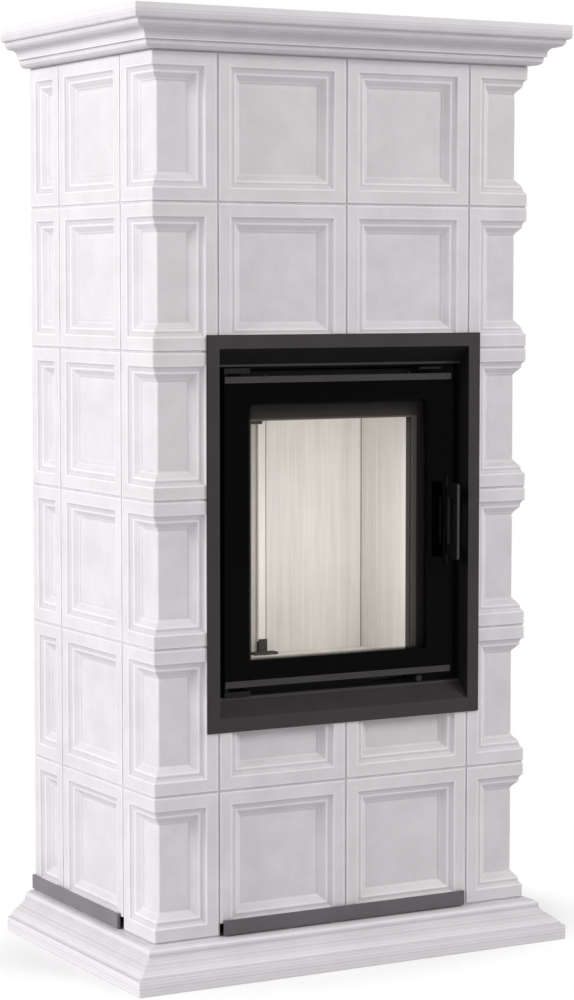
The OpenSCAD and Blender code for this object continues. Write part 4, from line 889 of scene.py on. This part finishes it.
framed = soften_all(frame_paint, {"insert_frame": 0.8})
paint_shade_in_reveal(framed[0], shaded_reveal_paint, lit_sill_paint)
soften_all(stove_paint, {"glass_rails": 0.7, "top_grille": 0.4})
soften_all(grip_paint, {"handle_lever": 0.9})

# %% [markdown]
# The vent strips stand on small spacers, which must not show over the strips' top edge. So the
# spacers are cut down to a little over half their height from above. Here that is a share of
# every point's height over the lowest one.

# %% Spacers
SPACER_SHARE = 0.55


def lower_spacers(mesh):
    """New height = lowest + share x (height - lowest)."""
    places = read_out(mesh.vertices, "co")
    lowest = places[:, 2].min()
    places[:, 2] = lowest + (places[:, 2] - lowest) * SPACER_SHARE
    mesh.vertices.foreach_set("co", places.ravel())
    print("spacers end at", round(places[:, 2].max(), 4))


lower_spacers(soften_all(strip_paint, {"strip_spacers": 0.4})[0].data)

# %% [markdown]
# What lies behind the frame is painted too, but sooty or plain black. The clips and the keeper
# were never painted, and the fire has scaled them.

# %% Plate, clips and black parts
soften_all(plate_paint, {"face_plate": 0.4})
soften_all(clip_steel, {"strip_brackets": 0.4, "keeper": 0.3})
soften_all(black_paint, {"threshold": 0.5, "air_wash_duct": 0.3, "door_brackets": 0.5,
                         "flue_collar": 0.3, "leg_feet": 0.5, "door_frame": 0.5, "flue_pipe": 0.2})

# %% [markdown]
# A vent strip is a strip of sheet folded back at both ends, so that its cut ends don't show. A
# plain block would do from the front, but from the side its ends look sawn. Its outline seen
# from above is a flat U, and it is the same at every height: a grid of levels, with the first
# and the last drawn in a little to break the edge.

# %% Vent strips
# How far the folded ends reach back past the strip, the thickness of the sheet, and how far
# short of their slots the front strip (each end) and the side strips (front end) stop
RETURN = 2.6 * MM
SHEET = 1.5 * MM
FRONT_SHORT = 4.8 * MM
SIDE_SHORT = 6.5 * MM
# The grid's levels as shares of the height, close together near its edges, and how far the
# outline is drawn in at each of them
LEVELS = np.array([0, 0.3, 1.0, 12.0, 22.0, 22.7, 23.0]) / 23
DRAWN_IN = np.array([0.4, 0.1, 0, 0, 0, 0.1, 0.4]) * MM


def folded_strip(name, node, low, high, along, out, finish):
    """The U runs from low to high on the axis along (0 or 1), with its back towards -out. The
    outline stands at every one of LEVELS, moved towards its middle by DRAWN_IN."""
    length, deep = high[along] - low[along], abs(high[1 - along] - low[1 - along])
    legs = deep + RETURN
    outline = np.array([(0, 0), (length, 0), (length, -legs), (length - SHEET, -legs),
                        (length - SHEET, -deep), (SHEET, -deep), (SHEET, -legs), (0, -legs)])
    rounded = eased(outline / MM, 0.7)[0] * MM
    centre = (rounded.min(0) + rounded.max(0)) / 2
    flat = rounded[None] - np.sign(rounded - centre)[None] * DRAWN_IN[:, None, None]
    points = np.zeros((*flat.shape[:2], 3))
    points[..., along] = low[along] + flat[..., 0]
    face = high[1 - along] if out > 0 else low[1 - along]
    points[..., 1 - along] = face + out * flat[..., 1]
    points[..., 2] = (LEVELS * (high[2] - low[2]) + low[2])[:, None]
    return make_piece(name, node, points, bar_faces(*points.shape[:2]), finish)


low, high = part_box("vent_strip_front")
short = Vector((FRONT_SHORT, 0, 0))
folded_strip("vent_strip_front_folded", "vent_strip_front", low + short, high - short, 0, -1,
             strip_paint)
low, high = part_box("vent_strips_side")
low = low + Vector((0, SIDE_SHORT, 0))
deep = high.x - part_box("strip_spacers")[1].x
# The side strips take the paler copy of the coat, as painted light.
folded_strip("vent_strip_right_folded", "vent_strips_side", (high.x - deep, low.y, low.z), high, 1, 1,
             lit_side_strip_paint)
folded_strip("vent_strip_left_folded", "vent_strips_side", low, (low.x + deep, high.y, high.z), 1, -1,
             lit_side_strip_paint)
print("vent strips", round(deep, 4), "deep")

# %% [markdown]
# Round parts are turned on a lathe: one profile of radius and distance, carried once round the
# axis. A screw's socket is the same profile with six flat sides, and the knob's grip is a small
# ripple in the radius. Where a node holds several such parts, their places are measured: the
# triangles of one part hang together by their edges, and those of two parts don't.

# %% Turned parts
# How deep the grip of a knob is knurled, as a share of its radius
RIPPLE = 0.03


def parts_of(node):
    """The boxes of the node's separate parts. Every point starts as a group of its own. Each
    edge gives both its ends the lower of their two groups, until no edge joins two groups."""
    mesh = merged_copy(node)
    places = read_out(mesh.vertices, "co")
    first, second = read_out(mesh.edges, "vertices", 2, np.int32).T
    bpy.data.meshes.remove(mesh)
    group = np.arange(len(places))
    while (group[first] != group[second]).any():
        lower = np.minimum(group[first], group[second])
        np.minimum.at(group, first, lower)
        np.minimum.at(group, second, lower)
    groups, member_of = np.unique(group, return_inverse=True)
    low, high = np.full((len(groups), 3), np.inf), np.full((len(groups), 3), -np.inf)
    np.minimum.at(low, member_of, places)
    np.maximum.at(high, member_of, places)
    order = np.lexsort(low.round(4).T[::-1])
    print(node, "has", len(groups), "parts")
    return list(zip(low[order], high[order]))


def turned(name, node, start, axis, way, profile, finish, count=32):
    """profile: radius, distance from start against way, and sides (0 round, 6 for a socket, more
    for a ripple), in mm. At the angle a round the axis, a point stands radius x (cos a, sin a)
    out from it. A six-sided row has its radius at the corners."""
    radius, distance, sides = (np.array(profile, float)[:, i][:, None] for i in range(3))
    angle = np.linspace(0, math.tau, count, endpoint=False)[None]
    flats = math.cos(math.pi / 6) / np.cos(angle % (math.pi / 3) - math.pi / 6)
    ripple = 1 + np.where(sides > 6, RIPPLE, 0) * np.cos(sides * angle)
    reach = radius * np.where(sides == 6, flats, ripple)
    points = np.zeros((len(profile), count, 3))
    points[..., (axis + 1) % 3] = reach * np.cos(angle)
    points[..., (axis + 2) % 3] = reach * np.sin(angle)
    points[..., axis] = -way * distance + 0 * angle
    points = points * MM + start
    faces = grid_faces(len(profile), count, closed=True)
    return make_piece(name, node, points, faces, finish, crease=30)


# %% [markdown]
# The rails are held by pan head screws with a hexagon socket, and the back panel by flat wood
# screws with the same socket. A cylinder would pass for a screw from far away, but its socket
# and its rounded rim are what catches the light.

# %% Screws
# Rows of radius, distance from the top of the head, and sides, in millimetres
SOCKET = [(0, 1.4, 0), (1.5, 1.4, 6), (1.55, 0.15, 6), (2.0, 0.0, 0)]
PAN = SOCKET + [(3.0, 0.1, 0), (3.7, 0.5, 0), (4.0, 1.2, 0), (4.0, 2.3, 0), (3.8, 2.5, 0),
                (1.6, 2.5, 0), (1.6, 8.0, 0), (0, 8.5, 0)]
WOOD_SCREW = SOCKET + [(3.4, 0.2, 0), (4.5, 0.7, 0), (4.98, 1.3, 0), (4.98, 1.9, 0), (4.7, 2.0, 0),
                       (0, 2.0, 0)]
rail_middle = (rail_low.z + rail_high.z) / 2
for number, (low, high) in enumerate(parts_of("rail_screws")):
    way = 1 if low[2] > rail_middle else -1
    place = (low + high) / 2
    place[2] = high[2] if way > 0 else low[2]
    turned(f"rail_screw_{number + 1}", "rail_screws", place, 2, way, PAN, black_oxide)

for number, (low, high) in enumerate(parts_of("back_screws")):
    place = (low + high) / 2
    place[1] = high[1]
    turned(f"back_screw_{number + 1}", "back_screws", place, 1, 1, WOOD_SCREW, zinc_plate)

# %% [markdown]
# A rosette is the pressed ring that hides the gap round a pipe: a rolled inner lip, a raised
# bead, a shallow trough and a second bead at the rim. The knob of the air slide is turned from
# bar, with a knurled grip between two rounded shoulders.

# %% Rosettes and knob
ROSETTE_WIDTH = 22.0
for number, (low, high) in enumerate(parts_of("rosettes")):
    place = (low + high) / 2
    place[1] = high[1]
    outer = (high[0] - low[0]) / 2 / MM
    inner = outer - ROSETTE_WIDTH
    ring = [(inner, 2.0, 0), (inner, 0.9, 0), (inner + 0.5, 0.3, 0), (inner + 2, 0.0, 0),
            (inner + 5, 0.0, 0), (inner + 7, 0.6, 0), (outer - 6, 0.7, 0), (outer - 4, 0.1, 0),
            (outer - 2, 0.1, 0), (outer - 0.5, 0.8, 0), (outer, 1.6, 0), (outer, 2.0, 0),
            (inner, 2.0, 0)]
    turned(f"wall_rosette_{number + 1}", "rosettes", place, 1, 1, ring, zinc_plate, 96)

low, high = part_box("slider_knob")
KNOB = [(0, 0.5, 0), (2.6, 0.3, 0), (3.6, 0.05, 0), (4.8, 0.4, 0), (5.5, 1.2, 0), (5.75, 1.9, 24),
        (5.8, 4.6, 24), (5.6, 5.3, 0), (4.2, 6.2, 0), (3.2, 6.7, 0), (3.1, 8.6, 0), (3.1, 9.0, 0),
        (0, 9.0, 0)]
knob_place = ((low.x + high.x) / 2, low.y, (low.z + high.z) / 2)
turned("slider_knob_turned", "slider_knob", knob_place, 1, -1, KNOB, lit_sill_paint, 96)
print("knob at", [round(x, 4) for x in knob_place])

# %% [markdown]
# The seal of the door is a rope plaited from glass fibre, laid in a groove all round. It is one
# tube along a rounded rectangle. Its radius has bumps where the strands of the plait cross: the
# product of two waves that climb round the tube in opposite directions.

# %% Rope seal
# Bend at the corners, strands of the plait, length after which it repeats, how deep the crossings
# of its strands lie as a share of its radius, and the spacing of its rings
BEND = 24 * MM
STRANDS = 4
PLAIT = 16 * MM
CROSSINGS = 0.10
RING_SPACING = 1.6 * MM


def rounded_loop(low, high, bend, spacing):
    """Points round a rectangle in x and z with quarter circles at its corners, evenly spaced."""
    turn = np.linspace(0, math.pi / 2, 13)
    corners = [((high[0] - bend, high[1] - bend), 0), ((low[0] + bend, high[1] - bend), 1),
               ((low[0] + bend, low[1] + bend), 2), ((high[0] - bend, low[1] + bend), 3)]
    rough = np.concatenate([np.array(centre) + bend * np.column_stack(
        [np.cos(turn + k * math.pi / 2), np.sin(turn + k * math.pi / 2)]) for centre, k in corners])
    rough = np.concatenate([rough, rough[:1]])
    reach = np.concatenate([[0], np.cumsum(np.linalg.norm(np.diff(rough, axis=0), axis=1))])
    count = round(reach[-1] / spacing)
    even = np.linspace(0, reach[-1], count, endpoint=False)
    return np.column_stack([np.interp(even, reach, rough[:, k]) for k in (0, 1)]), even, reach[-1]


def rope_seal():
    """Round each point of the path goes a ring, square to the path, with the radius
    R (1 - c + c |sin((n a + s) / 2) sin((n a - s) / 2)|): a is the angle round the rope, s the
    climb along it, n the strands and c the depth of the crossings."""
    low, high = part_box("door_gasket")
    radius = (high.y - low.y) / 2
    path, along, length = rounded_loop((low.x + radius, low.z + radius),
                                       (high.x - radius, high.z - radius), BEND, RING_SPACING)
    ahead = np.roll(path, -1, 0) - np.roll(path, 1, 0)
    ahead /= np.linalg.norm(ahead, axis=1)[:, None]
    angle = np.linspace(0, math.tau, 28, endpoint=False)[None]
    climb = math.tau * round(length / PLAIT) * along[:, None] / length
    plait = np.abs(np.sin((STRANDS * angle + climb) / 2) * np.sin((STRANDS * angle - climb) / 2))
    thick = radius * (1 - CROSSINGS + CROSSINGS * plait)
    side, deep = thick * np.cos(angle), thick * np.sin(angle)
    points = np.stack([path[:, :1] + ahead[:, 1:] * side, (low.y + high.y) / 2 + deep,
                       path[:, 1:] - ahead[:, :1] * side], -1)
    points = np.concatenate([points, points[:1]])
    faces = grid_faces(*points.shape[:2], closed=True)
    make_piece("door_rope_seal", "door_gasket", points, faces, rope_yarn, crease=60)
    print("rope of", round(length, 3), "m with", len(faces), "faces")


rope_seal()

# %% [markdown]
# What nobody sees is left bare or plated: the firebox body, its legs and the air box are rolled
# sheet, the pins and the fresh air pipe are plated with zinc, and the washers are blackened.
# The grate is cast, so its edges are rounder than those of any sheet.

# %% Bare, plated and cast metal
soften_all(rolled_steel, {"tile_lintel": 0.3, "firebox_shell": 0.3, "stand_legs": 0.3, "air_box": 0.3,
                          "ash_pan": 0.3, "slider_guides": 0.3, "air_slider": 0.3})
soften_all(zinc_plate, {"fresh_air_pipe": 0.3, "hinge_pins": 0.3, "lever_pin": 0.2})
soften_all(black_oxide, {"hinge_washer": 0.3, "lever_washers": 0.15})
soften_all(grey_iron, {"grate": 0.9})

# %% [markdown]
# Lining boards are sawn to size, so their edges are only just broken. The mineral boards that
# the tiles are stuck to are the same kind of thing. The slab on top is painted in the glaze's
# colour, but matt.

# %% Boards and mortar
soften_all(lining, {"lining_back": 0.8, "lining_sides": 0.8, "lining_floor": 0.8, "baffle": 0.8})
soften_all(warm_strip, {"lining_strip": 0.6})
soften_all(fibre_board, {"side_boards": 1.0, "front_board_upper": 1.0, "front_board_lower": 1.0,
                         "back_panel": 1.0})
soften_all(slab_paint, {"top_slab": 1.5})
soften_all(mortar, {"tile_joints": 0.3})

# %% [markdown]
# The pane is cut from a plate of glass ceramic 4 mm thick, and its edges are ground. It lies on
# a woven tape, so that it can grow in the heat without touching the steel.

# %% Pane
soften_all(glass, {"door_glass": 0.5})
soften_all(flat_tape, {"glass_tape": 0.3})

# %% [markdown]
# The floor is plain. Close to the base it shows the shade that falls on it, and a little further
# out it passes into the white of the background, so no horizon cuts the picture. What it throws
# back on the fireplace is greyer than it looks itself, as if it were only a sheet of paper in a
# darker room. Both are decided by the kind of ray that arrives.

# %% Floor
FLOOR_HALF = 6.0
# The white starts at an oval round the base and is full at a larger one. These are the ovals'
# half lengths from front to back. From left to right, a distance counts for less.
WHITE_FROM, WHITE_FULL = 0.24, 0.38
SIDEWAYS = 0.64


def looked_at(tree):
    """1 for rays that make the picture, straight, by a mirror or through the pane, else 0."""
    rays = add(tree, "ShaderNodeLightPath").outputs
    mask = rays["Is Camera Ray"]
    for kind in ("Is Glossy Ray", "Is Transmission Ray"):
        mask = add(tree, "ShaderNodeMath", {0: mask, 1: rays[kind]}, operation="MAXIMUM").outputs[0]
    return mask


def lay_floor():
    """A sheet of matt white paper: it takes a soft shade, and mirrors nothing sharply."""
    made, tree, shader, where = start_material("white_floor")
    set_shader(shader, Roughness=0.6)
    tone = add(tree, "ShaderNodeMix", {0: looked_at(tree), 6: linear("#cbc9cb"),
                                       7: linear("#f4f3f4")}, data_type="RGBA")
    tree.links.new(tone.outputs[2], shader.inputs["Base Color"])
    oval = add(tree, "ShaderNodeVectorMath", {0: where, 1: (SIDEWAYS, 1, 1)}, operation="MULTIPLY")
    far = add(tree, "ShaderNodeVectorMath", {0: oval.outputs[0]}, operation="LENGTH")
    fade = add(tree, "ShaderNodeMapRange", {"Value": far.outputs["Value"], "From Min": WHITE_FROM,
                                            "From Max": WHITE_FULL}, interpolation_type="SMOOTHSTEP")
    seen = add(tree, "ShaderNodeLightPath").outputs["Is Camera Ray"]
    both = add(tree, "ShaderNodeMath", {0: fade.outputs["Result"], 1: seen}, operation="MULTIPLY")
    white = add(tree, "ShaderNodeEmission", {"Color": (1, 1, 1, 1), "Strength": 1.0})
    mixed = add(tree, "ShaderNodeMixShader", {0: both.outputs[0], 1: shader.outputs[0],
                                              2: white.outputs[0]})
    tree.links.new(mixed.outputs[0], tree.nodes["Material Output"].inputs["Surface"])
    mesh = bpy.data.meshes.new("floor")
    corners = np.array([(-1, -1, 0), (1, -1, 0), (1, 1, 0), (-1, 1, 0)]) * FLOOR_HALF
    mesh.from_pydata(corners.tolist(), [], [(0, 1, 2, 3)])
    mesh.materials.append(made)
    floor = bpy.data.objects.new("floor", mesh)
    bpy.context.scene.collection.objects.link(floor)


lay_floor()
print("floor", 2 * FLOOR_HALF, "m wide")

# %% [markdown]
# The light is that of a studio. A large soft lamp on the left makes the left side the paler
# one, a second one in front on the right fills the front, and an even sky lifts the shade. In
# the firebox a small lamp stands in for the light that the pale lining throws from board to
# board. The lamps don't show, and the sky looks white but gives less light than it shows.

# %% Lamps and sky
MIDDLE = (0, 0, 0.7)
SOFT_BOX = (3.0, 3.0)
SKY = 0.44


def hang_lamp(name, place, aim, size, watts):
    """A soft lamp of that width and height, turned from its place towards aim."""
    lamp = bpy.data.lights.new(name, "AREA")
    lamp.shape = "RECTANGLE"
    lamp.energy, lamp.size, lamp.size_y = watts, *size
    holder = bpy.data.objects.new(name, lamp)
    bpy.context.scene.collection.objects.link(holder)
    holder.location = place
    holder.visible_camera = False
    away = holder.location - Vector(aim)
    holder.rotation_euler = away.to_track_quat("Z", "Y").to_euler()


def light_sky(level):
    """White all round for rays that make the picture, and this level for the light it gives."""
    world = bpy.data.worlds.new("white_studio")
    bpy.context.scene.world = world
    world.use_nodes = True
    tree = world.node_tree
    strength = add(tree, "ShaderNodeMapRange", {"Value": looked_at(tree), "To Min": level,
                                                "To Max": 1.0})
    back = tree.nodes["Background"]
    back.inputs["Color"].default_value = (1, 1, 1, 1)
    tree.links.new(strength.outputs["Result"], back.inputs["Strength"])


light_sky(SKY)
hang_lamp("left_light", (-6.45, -0.2, 3.3), MIDDLE, SOFT_BOX, watts=408)
hang_lamp("front_light", (4.1, -4.5, 4.2), MIDDLE, SOFT_BOX, watts=252)
fire_height = (window_low + window_high) / 2 - 30 * MM
hang_lamp("firebox_light", (0.07, front_y + 60 * MM, fire_height),
          (0.10, front_y + 264 * MM, fire_height), (0.20, 0.38), watts=0.48)
print("lamp in the firebox at height", round(fire_height, 4))

# %% [markdown]
# The camera stands to the left of the middle, about a metre up, and looks down a little. A long
# lens from 4.4 m away keeps the uprights nearly parallel, as in a catalogue. Its numbers follow
# from the tiles: once the size of its squares is settled, a grid fixes where the eye was.

# %% Camera
YAW, PITCH_DOWN = 29.085, 4.492
LENS = 98.37
EYE = (-2.1295, -3.8359, 1.0555)
camera = bpy.data.objects.new("camera", bpy.data.cameras.new("camera"))
bpy.context.scene.collection.objects.link(camera)
camera.data.lens = LENS
camera.data.sensor_width = 36
camera.location = EYE
camera.rotation_euler = (math.radians(90 - PITCH_DOWN), 0, math.radians(-YAW))
bpy.context.scene.camera = camera
bpy.context.scene.view_settings.view_transform = "Standard"
print("camera", round(math.dist(EYE, MIDDLE), 2), "m from the middle of the fireplace")
